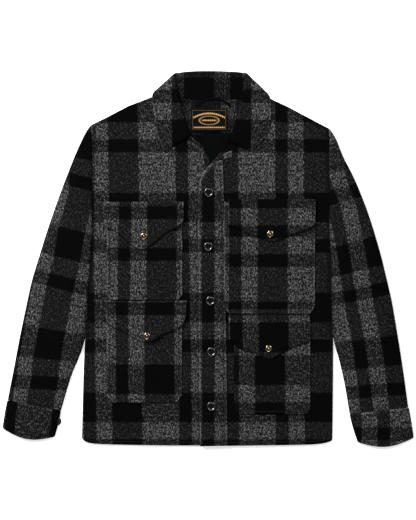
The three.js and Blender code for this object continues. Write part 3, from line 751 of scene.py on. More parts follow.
def rolled_bolt(bolt, shift):
    """Along the free corner the facing is rolled to the front, and shows a paler stripe."""

    def at(x, y):
        inside = distance_to(x, y, ROLLED)[0]
        near = (1 - ease(inside, 5.5, 7)) * ease(y, 168, 186)
        maps = bolt(x, y)
        maps[..., 0] = maps[..., 0] * (1 - near) + shift * near
        return maps

    return at


BAND_BOLT = rolled_bolt(plaid(-157.2, 357.8), 100)


def band_relief(x, y, inside):
    return 0.55 * ease(inside, 2, 10) - 0.5 * groove(inside - BAND_INSET, 1.4)


band_shape = patch(
    straight(EDGE_OVER[0], BAND_INNER[0]),
    straight((10, 209), (31, 213)),
    smooth(*EDGE_OVER[:4], (10, 209)),
    smooth(*BAND_INNER),
)
front_band = sheet(
    "cloth_front_band", band_shape, BAND_SIZE, on_left_cloth, BAND_BOLT, pitch=3, relief=band_relief
)
declare(front_band, "front_band")
facing_shape = between(((34.5, 216), (50.5, 218)), ((33, 226.5), (51.5, 233.5)))
front_facing = sheet(
    "cloth_front_facing", facing_shape, (26, 24), on_left_cloth, plaid(-50, 180), thick=2, pitch=2
)
declare(front_facing, "front_facing")

# %% [markdown]
# Inside the open neck lie the smooth lining, a shaped facing of the plaid wool, a woven label on
# it and a tape loop to hang the jacket from. The label keeps its place, its size and its gold
# border. An arch, an oval and rows of diamonds stand in place of its words.

# %% Inside the neck
LABEL_MIDDLE = (0.00225, 0.2998)


def woven_label():
    """Black satin with a thin gold border, a plain oval and three rows of gold diamonds, in metres
    from the label's middle."""
    s = Shade("woven_label")
    across, along = s.cloth_map()
    spot = s.place()
    right = (across - LABEL_MIDDLE[0]).size()
    height = along - LABEL_MIDDLE[1]
    up = height.size()
    sides = right.within(0.0352, 0.0357, 0.0002) * (1 - up.eased(0.0205, 0.0208))
    ends = up.within(0.0197, 0.0202, 0.0002) * (1 - right.eased(0.0356, 0.0358))
    diamond = (right % 0.0044 - 0.0022).size()
    arch = height + right * right * 8.0
    upper = (arch - 0.0135).size() + diamond * 0.8
    lower = (height + 0.0164).size() + diamond * 0.6
    level = (height + 0.0014).size()
    crossing = level + diamond * 0.9
    rows = upper.within(-1, 0.0024, 0.0004) * (1 - right.eased(0.0335, 0.0338))
    rows = rows + lower.within(-1, 0.0017, 0.0002) * (1 - right.eased(0.0330, 0.0333))
    rows = rows + crossing.within(-1, 0.0022, 0.0003) * (1 - right.eased(0.0150, 0.0153))
    oval = (right * right * 0.19 + level * level).within(0.000070, 0.000096, 0.000008)
    gold = ((sides + ends) * 0.35 + rows * 0.95 + oval * 0.6).clamped()
    thread = s.noise(spot, 1500, 2, 0.6)
    yarn = s.mix(thread, (0.25, 0.14, 0.05), (0.50, 0.31, 0.13))
    satin = s.mix(thread, (0.0015, 0.0013, 0.0012), (0.0062, 0.0054, 0.0050))
    s.wear(Base_Color=s.mix(gold, satin, yarn))
    s.wear(Roughness=thread.eased(0.3, 0.7, 0.42, 0.58))
    s.wear(Normal=s.bump(thread + gold * 0.6, 0.0002, 0.5))
    s.wear(Specular_IOR_Level=0.01)
    return s.material


def unrolled(x, y):
    """A cloth map for pieces whose pattern is measured on the jacket itself."""
    return np.stack([x, y], -1)


lining_shape = patch(
    straight((6, 199), (30, 199)),
    straight((-41, 269), (50, 269)),
    straight((6, 199), (-2, 226), (-11, 243), (-41, 269)),
    straight((30, 199), (52, 238), (50, 269)),
)
back_lining = sheet(
    "cloth_lining", lining_shape, (90, 75), on_back, unrolled, LINING, 2.5, material=LINING_CLOTH
)
declare(back_lining, "back_lining")


def painted_shade_in_neck(x, y, inside):
    """Painted shade in the open neck, deepest under the collar's right side and along both ends."""
    ends = 1 - ease(y, 270, 284) + ease(y, 326, 338)
    return 0.75 + 0.4 * (1 - ease(x, -44, -34)) + 0.35 * ends


facing_outline = between(
    ((-39.5, 271), (51, 271)),
    ((-64, 345), (-35, 343), (-2, 340), (43, 342), (72, 344)),
)
FACING_BOLT = plaid(27.7, 299.7, turned=True)
neck_facing = sheet(
    "cloth_neck_facing", facing_outline, (115, 60), on_back, FACING_BOLT, FACING, 2.5,
    painted_shade=painted_shade_in_neck,
)
declare(neck_facing, "neck_facing")
label_outline = between(((-37, 276.2), (41.5, 276)), ((-37, 323.6), (41.5, 323.4)))
neck_label = sheet(
    "cloth_label", label_outline, (78.5, 47.4), on_facing, unrolled, LABEL, 2, material=woven_label()
)
declare(neck_label, "neck_label")
LOOP_INNER = ((-26, 325.5), (-8, 338), (10.5, 341.5), (30, 338), (47, 325.5))
LOOP_OUTER = ((-30, 329.5), (-9, 344), (10.5, 347.5), (31, 344), (51, 329.5))
hanger_loop = sheet(
    "tape_loop", between(LOOP_INNER, LOOP_OUTER), (82, 6), on_facing, unrolled, TAPE, 2,
    material=LINING_CLOTH,
)
declare(hanger_loop, "hanger_loop")

# %% [markdown]
# A collar is one long fold. The stand rises from the neck seam to the roll, turns half round, and
# the leaf comes back down on the fronts. At the back of the neck the whole collar has swung over
# and its leaf lies underneath. Each row of the table is one section through it.

# %% Collar
COLLAR_SECTIONS = (
    (-41.4, 255.6, -40, 263.2, -94.8, 232, 0), (-59.2, 278.2, -50.7, 289, -107.7, 261, 0),
    (-73.6, 305.6, -57.2, 312.6, -114.2, 299.7, 0), (-88.8, 334.6, -65.8, 347, -118.5, 329.8, 0),
    (-92.7, 351.3, -72.2, 377.1, -121.5, 340.5, 0), (-92, 357.8, -71.2, 394.3, -113.5, 356.5, 0.5),
    (-86, 353, -62.6, 398.2, -100.5, 364.5, 1), (-60.4, 340.4, -43.2, 399.9, -64.7, 371.7, 1),
    (-2.4, 334.9, -2.4, 400.1, -2.4, 370.8, 1), (60, 339.6, 47.1, 399.9, 68.6, 371.7, 1),
    (96.5, 353, 74, 398.2, 109.5, 364, 1), (102.5, 357.8, 82.5, 394.3, 124, 354, 0.5),
    (102, 350.2, 82.1, 377.1, 135.2, 339.8, 0), (96.5, 332, 74, 347, 134.2, 328, 0),
    (83.6, 299.7, 66.4, 312.6, 135.2, 304, 0), (68.6, 265.3, 56.8, 276.1, 124.5, 265.3, 0),
    (56.8, 238.9, 52.5, 249, 92.2, 232, 0),
)
LEAF_CLEAR = 0.7
ROLL_HALF = 3.2
STAND_PAINTED_SHADE = 0.8


def collar():
    """The whole collar: rows of points along it, built up from the seam over the roll to the leaf's
    edge. turn is how far a section has swung over, from 0 in front to 1 at the back."""
    rows = smooth_rows(COLLAR_SECTIONS, 10)
    seam, roll, edge = rows[:, 0:2], rows[:, 2:4], rows[:, 4:6]
    turn = np.clip(rows[:, 6], 0, 1)[:, None]
    wall = CLOTH / 2
    half = ROLL_HALF
    out = (roll - edge) / np.linalg.norm(roll - edge, axis=1)[:, None]
    swing = turn * math.pi
    side = np.stack([-out[:, 1], out[:, 0]], 1) * np.where(seam[:, :1] < 0, 1, -1)
    over = np.hstack([side * np.sin(swing), np.cos(swing)])
    outward = np.hstack([out, np.zeros_like(turn)])
    flat_over = over * (1, 1, 0)
    level = (1 - turn) * on_fronts(seam[:, :1], seam[:, 1:]) + wall
    centre = level + half
    axis = np.hstack([roll, centre])
    middles, normals, depths = [], [], []
    # The stand.
    for t in np.r_[0, 0.03, 0.08, np.linspace(0.16, 0.97, 8)]:
        at = seam + (roll - seam) * t
        z = level + (centre - half * over[:, 2:] - level) * t
        middles.append(np.hstack([at, z]) - flat_over * half * t)
        normals.append(-over)
        depths.append(t * np.linalg.norm(roll - seam, axis=1))
    # The roll.
    for angle in np.radians(np.linspace(-90, 90, 11)):
        normal = outward * math.cos(angle) + over * math.sin(angle)
        middles.append(axis + normal * half)
        normals.append(normal)
        depths.append(np.full(len(rows), 20.0))
    leaf = len(middles) - 6
    # The leaf, which sinks from the roll to the cloth under it.
    width = np.linalg.norm(edge - roll, axis=1)
    steps = np.r_[np.linspace(0.05, 0.8, 12), 0.85, 0.88, 0.91, 0.94, 0.965, 0.985, 0.995, 1]
    for t in steps:
        at = roll + (edge - roll) * t
        lying = on_fronts(at[:, :1], at[:, 1:]) + CLOTH + LEAF_CLEAR + wall
        swung = centre + half * over[:, 2:]
        rest = lying + (swung - lying) * np.minimum(1, 2 * turn)
        z = swung + (rest - swung) * min(1, 2 * t)
        ditch = -0.4 * groove((1 - t) * width - HEM_INSET, 2)[:, None]
        middles.append(np.hstack([at, z]) + flat_over * half + over * ditch)
        normals.append(over)
        depths.append((1 - t) * width)
    middle, normal = np.stack(middles, 1), np.stack(normals, 1)
    away = np.linalg.norm(np.diff(roll, axis=0), axis=1)
    start = np.r_[0, np.cumsum(away)]
    ends = np.minimum(start, start[-1] - start)[:, None]
    inside = np.minimum(np.stack(depths, 1), ends)
    reach = rounded(inside, CLOTH) * wall
    reach[[0, -1]] = 0
    reach[:, [0, -1]] = 0
    upper = middle + normal * reach[..., None]
    lower = middle - normal * reach[..., None]
    x, y = upper[..., 0], upper[..., 1]
    # The wide black column and row start at these places on the stand and on each leaf.
    maps = np.stack([COLUMNS[0] - (x + 51.8), 390.0 - y], -1)
    down = ROWS[0] + (y - 299.7)
    right_leaf = np.stack([COLUMNS[0] - (x + 77.6), down], -1)
    left_leaf = np.stack([COLUMNS[0] + (x - 92.2), down], -1)
    maps[:, leaf:] = np.where(x[..., None] < 5, right_leaf, left_leaf)[:, leaf:]
    # Painted shade on the stand, which the roll over it shades.
    painted_shade = np.zeros_like(inside)
    painted_shade[:, : leaf - 2] = STAND_PAINTED_SHADE
    marks = {"edge": inside, "seam": inside, "painted_shade": painted_shade}
    return shell("cloth_collar", upper, lower, maps, marks, WOOL)


declare(collar(), "collar")

# %% [markdown]
# A sleeve is a flattened tube: a lower wall on the surface, an upper wall over it, and a round
# fold at each side. Its rings fan out round the underarm. The stripes run along it and lean with
# it, so its cloth map is measured from one stripe's edge, which the table follows down the sleeve.

# %% Sleeves and cuffs
SLEEVE_RIGHT = (
    (-250.4, 290.2, -252.9, 41.7, 0.3), (-261.4, 275, -254.6, 26.7, 0.5),
    (-279.7, 237.4, -255.9, 3, 0.1), (-303.4, 179.3, -258.3, -33.5, 0.6),
    (-324.9, 121.3, -260.7, -72.2, 0), (-344.2, 65.4, -262.8, -110.9, 0.4),
    (-362.5, 7.3, -264.8, -147.5, 0.1), (-378.6, -46.4, -268.2, -184, 0.9),
    (-391.5, -104.5, -278.6, -214.1, 0.2), (-404.4, -166.8, -290.5, -242.1, 0.7),
    (-416.2, -229.2, -301.2, -274.3, 0.1), (-430.4, -302.3, -315.6, -323.8, 0.5),
)
SLEEVE_LEFT = (
    (260.6, 281.9, 265.3, 41.7, 0.3), (273.5, 261, 266.4, 26.7, 0.6), (289.2, 222.7, 267, 3, 0.1),
    (312, 177.6, 267.6, -33.5, 0.5), (333, 127.7, 268.8, -72.2, 0), (351.3, 76.1, 269.8, -110.9, 0.6),
    (370.7, 10.1, 270.4, -147.5, 0.2), (382.5, -37.8, 272.4, -184, 0.8),
    (394.3, -89.4, 280.1, -212, 0.1), (406.8, -161.9, 287.9, -244.2, 0.6),
    (418.2, -234.1, 295.4, -280.8, 0.1), (429.8, -317.5, 303.6, -331.5, 0.5),
)
CUFF_RIGHT = (
    (-431.4, -302.7, -315.7, -324.4, 0), (-436.7, -330.2, -321, -351.5, 0.2),
    (-440.2, -352, -326.6, -371.4, 0.1), (-441.8, -362.3, -329.2, -380.6, 0),
)
CUFF_LEFT = (
    (431, -317.9, 303.4, -332.1, 0), (436.2, -346, 309.8, -358, 0.2), (439.9, -370, 316.9, -380.5, 0.1),
    (441.8, -383, 321, -392.6, 0),
)
SLEEVE_HEIGHTS = ((0, 0.08, 0.4, 0.9, 1), (6.6, 8.2, 9.4, 9.2, 8.8))
CUFF_HEIGHTS = ((0, 0.2, 1), (8.6, 8.4, 7.6))
CUFF_BULGE = 14.5
LOWER, ROUND, UPPER = 20, 12, 52
ROLL_OFF = 13.0
SHADE = 13.0
SWELL = 3.6
PUSHED = 4.2
UNDERARM = (150, 190)
RIGHT_STRIPE = (
    (-297.8, 149.2), (-319.5, 69.7), (-331.1, 4.1), (-346.2, -58.1), (-363.4, -148),
    (-374.5, -214.1), (-379.3, -255), (-388.5, -299.3),
)
LEFT_STRIPE = (
    (293.5, 181.5), (318, 114.8), (328.7, 63.2), (339.5, 8), (346.8, -46.4), (356, -102.3),
    (367.2, -158), (374.1, -200.2), (383.1, -270), (388.9, -325.9),
)
RIGHT_SLANT = ((149, -0.26), (-66, -0.26), (-259, -0.05))
LEFT_SLANT = ((149, 0.28), (20, 0.28), (-173, 0.11), (-281, 0.07))
RIGHT_FOLDS = (
    (((-300, 205), (-285, 150), (-268, 95)), 14, 2.6),
    (((-330, 120), (-300, 75), (-268, 45)), 12, 2.0),
    (((-345, 60), (-310, 10), (-272, -20)), 13, -1.8),
    (((-262, 20), (-290, -30), (-300, -80)), 10, 2.2),
    (((-365, -10), (-330, -62), (-276, -95)), 14, 2.4),
    (((-385, -80), (-350, -115), (-290, -150)), 12, -1.6),
    (((-398, -130), (-360, -165), (-300, -190)), 13, 2.2),
    (((-410, -200), (-380, -228), (-320, -240)), 12, 1.6),
    (((-420, -255), (-380, -268), (-330, -275)), 10, -1.3),
)
LEFT_FOLDS = (
    (((310, 195), (296, 140), (276, 90)), 14, 2.4),
    (((336, 115), (305, 70), (276, 42)), 12, 2.1),
    (((352, 62), (320, 5), (280, -25)), 13, -1.7),
    (((274, 10), (296, -35), (306, -90)), 10, 2.0),
    (((372, -5), (335, -55), (284, -90)), 14, 2.5),
    (((388, -70), (350, -110), (295, -145)), 12, -1.5),
    (((400, -140), (365, -170), (305, -200)), 13, 2.0),
    (((412, -205), (385, -235), (325, -250)), 12, 1.7),
    (((420, -268), (385, -280), (325, -292)), 10, -1.2),
)


def stripe_bolt(stripe, end, slant, scale):
    """A cloth map measured from a stripe's edge that leans down the sleeve. slant gives how much
    the rows drop across the sleeve, as (y, slope) pairs."""
    line = np.array(stripe)[::-1]
    tilt = np.array(slant)[::-1]

    def at(x, y):
        tied = y
        for _ in range(3):
            edge = np.interp(tied, line[:, 1], line[:, 0])
            tied = y - np.interp(tied, tilt[:, 0], tilt[:, 1]) * (x - edge - 30)
        edge = np.interp(y, line[:, 1], line[:, 0])
        return np.stack([(x - edge) * scale, end - tied], -1)

    return at


def ring_places(width, height, inset):
    """Distance across and height of the points round one ring, from the outer fold's middle
    under the sleeve to the inner fold, over the top and back."""
    radius = height / 2 - inset
    near, far = height / 2, width - height / 2

    def fold(angle, middle, side):
        """The lower half of a fold is round, and the upper half rolls off further in."""
        wider = (ROLL_OFF - height / 2) * (math.sin(angle) > 0)
        across = middle - side * wider + (radius + wider) * math.cos(angle)
        return (across, height / 2 + radius * math.sin(angle))

    down, up = math.pi / 2, math.pi * 1.5
    under = [(s, inset) for s in np.linspace(near, far, LOWER + 1)[:-1]]
    inner = [fold(a, far, 1) for a in np.linspace(-down, down, ROUND + 1)[:-1]]
    first, last = width - ROLL_OFF, ROLL_OFF
    over = [(s, height - inset) for s in np.linspace(first, last, UPPER + 1)[:-1]]
    outer = [fold(a, near, -1) for a in np.linspace(down, up, ROUND + 1)]
    return np.array(under + inner + over + outer)


def tube_rings(rows, places, side, heights, bulge):
    """The rings of a tube's outer or inner surface, one for each row of its table."""
    rings = []
    for row, place in zip(rows, places):
        start, end = row[0:2], row[2:4]
        width = np.linalg.norm(end - start)
        across = (end - start) / width
        ahead = np.array([across[1], -across[0]])
        ahead = -ahead if ahead[1] > 0 else ahead
        share = place / places[-1]
        rim = min(place, places[-1] - place)
        height = np.interp(share, *heights)
        half = CLOTH / 2 * rounded(rim, CLOTH)
        inset = CLOTH / 2 + (-half if side == "outer" else half)
        spots = ring_places(width, height, min(inset, height / 2 - 0.3))
        sag = bulge * share**2 * np.sin(math.pi * np.clip(spots[:, 0] / width, 0, 1))
        xy = start + spots[:, :1] * across + sag[:, None] * ahead
        # The upper wall swells to the middle of the sleeve, and less so at the sleeve's ends.
        share_up = np.clip(spots[:, 1] / height * 2 - 1, 0, 1)
        arch = np.clip(4 * spots[:, 0] * (width - spots[:, 0]) / width**2, 0, 1)
        spots[:, 1] += SWELL * arch * share_up * min(1, rim / 20 + 0.55)
        rings.append(np.c_[xy, spots[:, 1], width - spots[:, 0]])
    return np.array(rings)


def tube(name, table, fine, heights, bolt, creases=(), bulge=0.0):
    """A sleeve or a cuff. Each row of its table is a ring's outer and inner end, and fine is how
    many rings there are for each."""
    rows = smooth_rows(table, fine)
    # The inner fold is pushed close to the body as far down as the underarm seam.
    close = 1 - ease(-rows[:, 3], *UNDERARM) if creases else np.zeros(len(rows))
    rows[:, 2] -= np.sign(rows[:, 2]) * PUSHED * close
    middles = (rows[:, 0:2] + rows[:, 2:4]) / 2
    run = np.r_[0, np.cumsum(np.linalg.norm(np.diff(middles, axis=0), axis=1))]
    # More rings lie close to each end, for its rounded edge.
    near = np.array([0, 0.25, 0.8, 1.6, 2.6])
    places = np.r_[near, run[(run > 4) & (run < run[-1] - 4)], (run[-1] - near)[::-1]]
    rows = np.stack([np.interp(places, run, column) for column in rows.T], 1)
    close = np.interp(places, run, close)
    edge = np.minimum(places, run[-1] - places)
    outer, inner = (tube_rings(rows, places, side, heights, bulge) for side in ("outer", "inner"))
    x, y, past = outer[..., 0], outer[..., 1], outer[..., 3]
    top = np.zeros(x.shape[1])
    steps = np.arange(UPPER)
    top[LOWER + ROUND : LOWER + ROUND + UPPER] = ease(steps, 0, 9) * ease(UPPER - steps, 0, 9)
    rise = folds(x, y, creases) * top * ease(edge, 0, 25)[:, None]
    outer[..., 2] += rise
    inner[..., 2] += rise
    flat = bolt(x, y)
    # Under the sleeve the cloth goes on from its outer fold, so its map is mirrored there.
    under = np.arange(x.shape[1]) < LOWER + ROUND // 2
    maps = np.where(under[None, :, None], 2 * flat[:, -1:] - flat, flat)
    maps[..., 1] = flat[..., 1]
    edges = np.repeat(edge[:, None], x.shape[1], 1)
    # Painted shade on the upper wall beside the inner fold, as far down as the sleeve lies close to the
    # body.
    painted_shade = (1 - ease(past, 3, 3 + SHADE)) * close[:, None]
    marks = {"edge": edges, "seam": edges, "painted_shade": painted_shade}
    return shell(name, outer[..., :3], inner[..., :3], maps, marks, WOOL, round_about=True)


SLEEVES = (
    ("right", SLEEVE_RIGHT, stripe_bolt(RIGHT_STRIPE, 64.1, RIGHT_SLANT, 1.104), RIGHT_FOLDS),
    ("left", SLEEVE_LEFT, stripe_bolt(LEFT_STRIPE, 51.4, LEFT_SLANT, 0.99), LEFT_FOLDS),
)
for side, table, bolt, creases in SLEEVES:
    sleeve = tube("cloth_sleeve_" + side, table, 14, SLEEVE_HEIGHTS, bolt, creases)
    declare(sleeve, "sleeve_" + side)


def right_cuff_bolt(x, y):
    """Measured from the edge of its black stripe, which is squeezed at the outer fold."""
    edge = -409.6 + 0.105 * (y + 313.0)
    squeeze = np.where(x < edge, 1.25, 1.045)
    return np.stack([COLUMNS[0] + COLUMNS[1] - (x - edge) * squeeze, 2 + (-305 - y) * 0.75], -1)


def left_cuff_bolt(x, y):
    drop = np.where(y > -360.3, 0.8, 1.0)
    return np.stack([205.3 - (x - 328.7), 100 + (-360.3 - y) * drop], -1)


CUFFS = (
    ("right", CUFF_RIGHT, right_cuff_bolt, (0.26, 0.08)),
    ("left", CUFF_LEFT, left_cuff_bolt, (0.28, 0.08)),
)
for side, table, bolt, flat in CUFFS:
    cuff = tube("cloth_cuff_" + side, table, 8, CUFF_HEIGHTS, bolt, bulge=CUFF_BULGE)
    declare(cuff, "cuff_" + side)

# %% [markdown]
# Four patch pockets are stitched on, each with a shaped flap over its mouth and a snap at the
# flap's point. A pocket's plaid doesn't match the front's, because each one was cut on its own. A
# thick flap stands a little proud of its pocket, most of all beside the snap that holds it down.

# %% Pockets and flaps
POCKETS = (
    {
        "name": "chest_right", "bag": (-217.4, -55.3, 117.0, -86.8, 11), "top": 123.5,
        "flap": ((-223.7, 88.4), (-218.9, 71.8), (-193.1, 57), (-143, 21.5), (-91.8, 55.3),
                 (-57.5, 75.5), (-52.2, 88)),
        "snap": (-137.4, 49.7), "bag_bolt": (-132.2, 124.7), "flap_bolt": (-130.5, 214.1),
        "puff": (((-180, -60), (-150, -20), (-95, 10)), 26, 1.4),
        "hang": 1.2,
    },
    {
        "name": "hip_right", "bag": (-217.4, -56.1, -95.0, -307.0, 15), "top": -88.6,
        "flap": ((-219.5, -122), (-214, -137), (-180, -156), (-131.4, -178.5), (-97, -161.7),
                 (-57, -142), (-46.5, -118)),
        "snap": (-131.2, -164.0), "bag_bolt": (-136.5, -225.5), "flap_bolt": (-136.5, 8.4),
        "puff": (((-190, -270), (-140, -240), (-80, -250)), 30, 1.6),
        "hang": 1.1, "gape": (-113, -168, 6.5),
    },
    {
        "name": "chest_left", "bag": (34.5, 229.4, 123.4, -118.0, 15), "top": 129.0,
        "flap": ((43.5, 74), (79.1, 58.5), (110.3, 47.4), (134.8, 37.7), (168.1, 48.6),
                 (226, 71.1), (230.5, 80.8)),
        "snap": (133.1, 54.2), "bag_bolt": (105.8, 111.6), "flap_bolt": (105.8, 173.1),
        "puff": (((70, -80), (130, -40), (190, 0)), 30, 1.5),
        "jumps": ((-86, -12), (-107.5, 32)),
        # The second seam runs along the pocket's foot, where the flap below meets it, and carries a
        # line of painted shade.
        "seams": [((202.5, 78), (202.5, -72), (207, -83), (190, -93.7), (36, -92.5)),
                  ((38, -116.8), (216, -116.8))],
    },
    {
        "name": "hip_left", "bag": (56.1, 219.1, -127.0, -331.9, 10), "top": -118.4,
        "flap": ((44.5, -172), (75, -195), (103.8, -200.2), (131.6, -213), (158, -200.5),
                 (184, -186.5), (217.6, -176)),
        "snap": (129.6, -190.9), "bag_bolt": (100.4, -205.8), "flap_bolt": (108.6, -134.6),
        "puff": (((80, -300), (130, -270), (190, -280)), 28, 1.5),
        # The flap's seam runs along its top, where the pocket above meets it, and carries a line of
        # painted shade.
        "hang": 1.1, "flap_seams": [((44.5, -119.4), (217.6, -119.4))],
    },
)


FLAP_SHADOW = 1.5
FLAP_RISE, FLAP_HANG = 1.2, 1.7


def pocket_shape(bag):
    """A rectangle with its two lower corners cut off."""
    left, right, top, bottom, corner = bag
    low, cut = bottom + corner, 0.8 * corner
    return patch(
        straight((left, low), (left + cut, bottom), (right - cut, bottom), (right, low)),
        straight((left, top), (right, top)),
        straight((left, low), (left, top)),
        straight((right, low), (right, top)),
    )


def pocket_place(bag):
    """A pocket's size, the height of the front under it, and the front's side."""
    left, right, top, bottom = bag[:4]
    size = (right - left, top - bottom)
    return (size, on_right_front, "right") if left < 0 else (size, on_left_front, "left")


def with_jumps(bolt, jumps):
    """A cloth map that skips ahead below each of some lines, where a fold takes cloth up."""

    def at(x, y):
        skipped = sum(skip * (1 - ease(y, level - 0.8, level + 0.8)) for level, skip in jumps)
        return bolt(x, y + skipped)

    return at


def make_bag(pocket):
    size, rests, side = pocket_place(pocket["bag"])

    def relief(x, y, inside):
        full = ease(inside, 6, 34) * (1.1 + folds(x, y, (pocket["puff"],)))
        return full - 0.5 * groove(inside - SEAM_INSET, 1.5)

    # A painted shadow on the pocket just below its flap's edge: a seam line with a shallow ditch and
    # painted shade.
    painted_shadow_under_flap = smooth_rows([(x, y - FLAP_SHADOW) for x, y in pocket["flap"]])
    bag = sheet(
        "cloth_pocket_" + pocket["name"],
        pocket_shape(pocket["bag"]),
        size,
        layers_up(rests, 1),
        with_jumps(plaid(*pocket["bag_bolt"]), pocket.get("jumps", ())),
        pitch=2.3,
        relief=relief,
        seams=[*pocket.get("seams", ()), painted_shadow_under_flap],
        sewn_top=True,
    )
    declare(bag, "pocket_" + pocket["name"])


def make_flap(pocket):
    size, rests, _ = pocket_place(pocket["bag"])
    snap_x, snap_y = pocket["snap"]
    spot_x, spot_y, rise = pocket.get("gape", (0, 0, 0))
    first, last = pocket["flap"][0][0], pocket["flap"][-1][0]

    def relief(x, y, inside):
        """Proud of the pocket towards its free edge, but pressed down at the snap."""
        hang = ease(pocket["top"] - y, 12, 70)
        pressed = groove(x - snap_x, 24) * groove(y - snap_y, 30)
        gape = rise * groove(x - spot_x, 16) * groove(y - spot_y, 12)
        proud = pocket.get("hang", FLAP_HANG) * hang * (1 - pressed)
        proud = proud * (1 - ease(inside, 4, 45) * 0.5)
        return FLAP_RISE + proud + gape - 0.45 * groove(inside - SEAM_INSET, 1.5)

    flap = sheet(
        "cloth_flap_" + pocket["name"],
        between(pocket["flap"], ((first, pocket["top"]), (last, pocket["top"]))),
        (size[0] + 6, 75),
        layers_up(rests, 2),
        plaid(*pocket["flap_bolt"]),
        pitch=2.4,
        relief=relief,
        seams=pocket.get("flap_seams", ()),
        sewn_top=True,
    )
    name = pocket["name"]
    declare(flap, "flap_" + name)


for pocket in POCKETS:
    make_bag(pocket)
    make_flap(pocket)

# %% [markdown]
# Buttons and snaps are turned shapes, so a profile is swept round. The four holes of a button go
# in as pits in a fine grid of its face, which a lathe alone can't give. A snap is a brass cap
# with a raised ring round a blackened middle.

# %% Turned shapes
BUTTON_PROFILE = (
    (0, 0), (0.6, 0), (0.8, 0.02), (0.93, 0.16), (1, 0.38), (1, 0.55), (0.975, 0.74), (0.93, 0.87),
    (0.87, 0.96), (0.81, 1), (0.76, 0.97), (0.70, 0.88), (0.65, 0.79), (0.6, 0.73), (0.45, 0.70),
    (0.2, 0.69), (0, 0.69),
)
SNAP_PROFILE = (
    (0, 0), (0.9, 0), (1, 0.12), (1, 0.34), (0.96, 0.6), (0.86, 0.86), (0.74, 0.98), (0.64, 0.98),
    (0.56, 0.84), (0.52, 0.6), (0.48, 0.55), (0.28, 0.56), (0.24, 0.75), (0.16, 0.88), (0, 0.92),
)
AROUND = 72


def turned_mesh(profile, radius, height, holes=None):
    """Points and faces of a turned shape, its axis on z. holes are (radius, spread) of four pits
    in its upper face, which then gets finer rings than its profile gives it."""
    rows = smooth_rows(profile, 3)
    if holes:
        rim = rows[rows[:, 0] >= 0.6][:-1]
        face = [(r, 0.70 + 0.02 * r) for r in np.linspace(0.60, 0.02, 26)]
        rows = np.vstack([[(0.02, 0), (0.3, 0)], rim, face])
    else:
        rows = rows[rows[:, 0] > 0.015]
        rows[0, 1] = 0
    angles = np.arange(AROUND) * 2 * math.pi / AROUND
    ring = np.stack([np.cos(angles), np.sin(angles)], 1)
    points = []
    for i, (r, h) in enumerate(rows):
        xy = ring * r * radius
        z = np.full(AROUND, h * height)
        if holes and i > len(rows) // 2:
            for angle in (math.pi / 4 + np.arange(4) * math.pi / 2):
                spot = np.array([math.cos(angle), math.sin(angle)]) * holes[1]
                gap = np.linalg.norm(xy - spot, axis=1)
                z = z - 0.4 * height * (1 - ease(gap, holes[0] * 0.5, holes[0]))
        points.append(np.c_[xy, z])
    points = np.vstack(points)
    index = np.arange(len(rows) * AROUND).reshape(len(rows), AROUND)
    index = np.c_[index, index[:, 0]]
    faces = quads(index).tolist()
    low, high = len(points), len(points) + 1
    points = np.vstack([points, [0, 0, points[0, 2]], [0, 0, points[-1, 2]]])
    last = index[-1]
    caps = [(int(index[0, j + 1]), int(index[0, j]), low) for j in range(AROUND)]
    caps += [(int(last[j]), int(last[j + 1]), high) for j in range(AROUND)]
    print(radius, "mm shape with", len(faces) + len(caps), "faces")
    return points, faces + caps


def place_turned(name, shape, place, material, middle=None, turn=None):
    """A turned shape set down at a place. middle is the material of a part of its upper side, with
    the inner and outer radius and the lowest height of that part."""
    points, faces = shape
    if turn is not None:
        points = points @ turn.T
    mesh = bpy.data.meshes.new(name)
    mesh.from_pydata(((points + place) * MM).tolist(), [], faces)
    piece = add_piece(name, mesh, material, *(middle or ())[:1])
    if middle:
        for face in mesh.polygons:
            spot = np.array(face.center) / MM - place
            if middle[1] < math.hypot(spot[0], spot[1]) < middle[2] and spot[2] > middle[3]:
                face.material_index = 1
    return piece


def height_under(rests, spot, radius):
    """The highest of the cloth under a round shape's rim."""
    angles = np.arange(8) * math.pi / 4
    x, y = spot[0] + radius * np.cos(angles), spot[1] + radius * np.sin(angles)
    return float(rests(x, y).max())


# %% [markdown]
# Five buttons run down the band, and one lies edge on at the right cuff's inner side. Each of the
# four flaps has its snap. They stand on the highest cloth under their rims.

# %% Buttons and snaps
BUTTONS = ((1.3, 143.6), (0.6, 27.7), (4.9, -88.6), (7.1, -197.8), (6.7, -314.5))
BUTTON_RADIUS, BUTTON_HEIGHT, BUTTON_LIFT = 10.0, 4.0, 0.5
CUFF_BUTTON_RADIUS, CUFF_BUTTON_HEIGHT = 7.5, 3.0
HOLES, CUFF_HOLES = (1.15, 2.5), (0.9, 1.9)
SNAP_RADIUS, SNAP_HEIGHT, SNAP_LIFT = 7.3, 2.6, 1.2
CUFF_BUTTON_PLACE = (-320.9, -348.4, 7.8)
on_band = layers_up(on_left_front, 2)
button_shape = turned_mesh(BUTTON_PROFILE, BUTTON_RADIUS, BUTTON_HEIGHT, HOLES)
button_face = (HORN_FACE, 0, 0.6 * BUTTON_RADIUS, 0.15 * BUTTON_HEIGHT)
for number, spot in enumerate(BUTTONS, 1):
    z = height_under(on_band, spot, BUTTON_RADIUS) + BUTTON_LIFT
    piece = place_turned(f"horn_button_{number}", button_shape, (*spot, z), HORN, button_face)
    declare(piece, f"button_{number}")


def tilted(tilt, heading):
    """A turn about y by tilt, then about z by heading."""
    a, b = math.radians(tilt), math.radians(heading)
    lean = np.array([[math.cos(a), 0, math.sin(a)], [0, 1, 0], [-math.sin(a), 0, math.cos(a)]])
    swing = np.array([[math.cos(b), -math.sin(b), 0], [math.sin(b), math.cos(b), 0], [0, 0, 1]])
    return swing @ lean


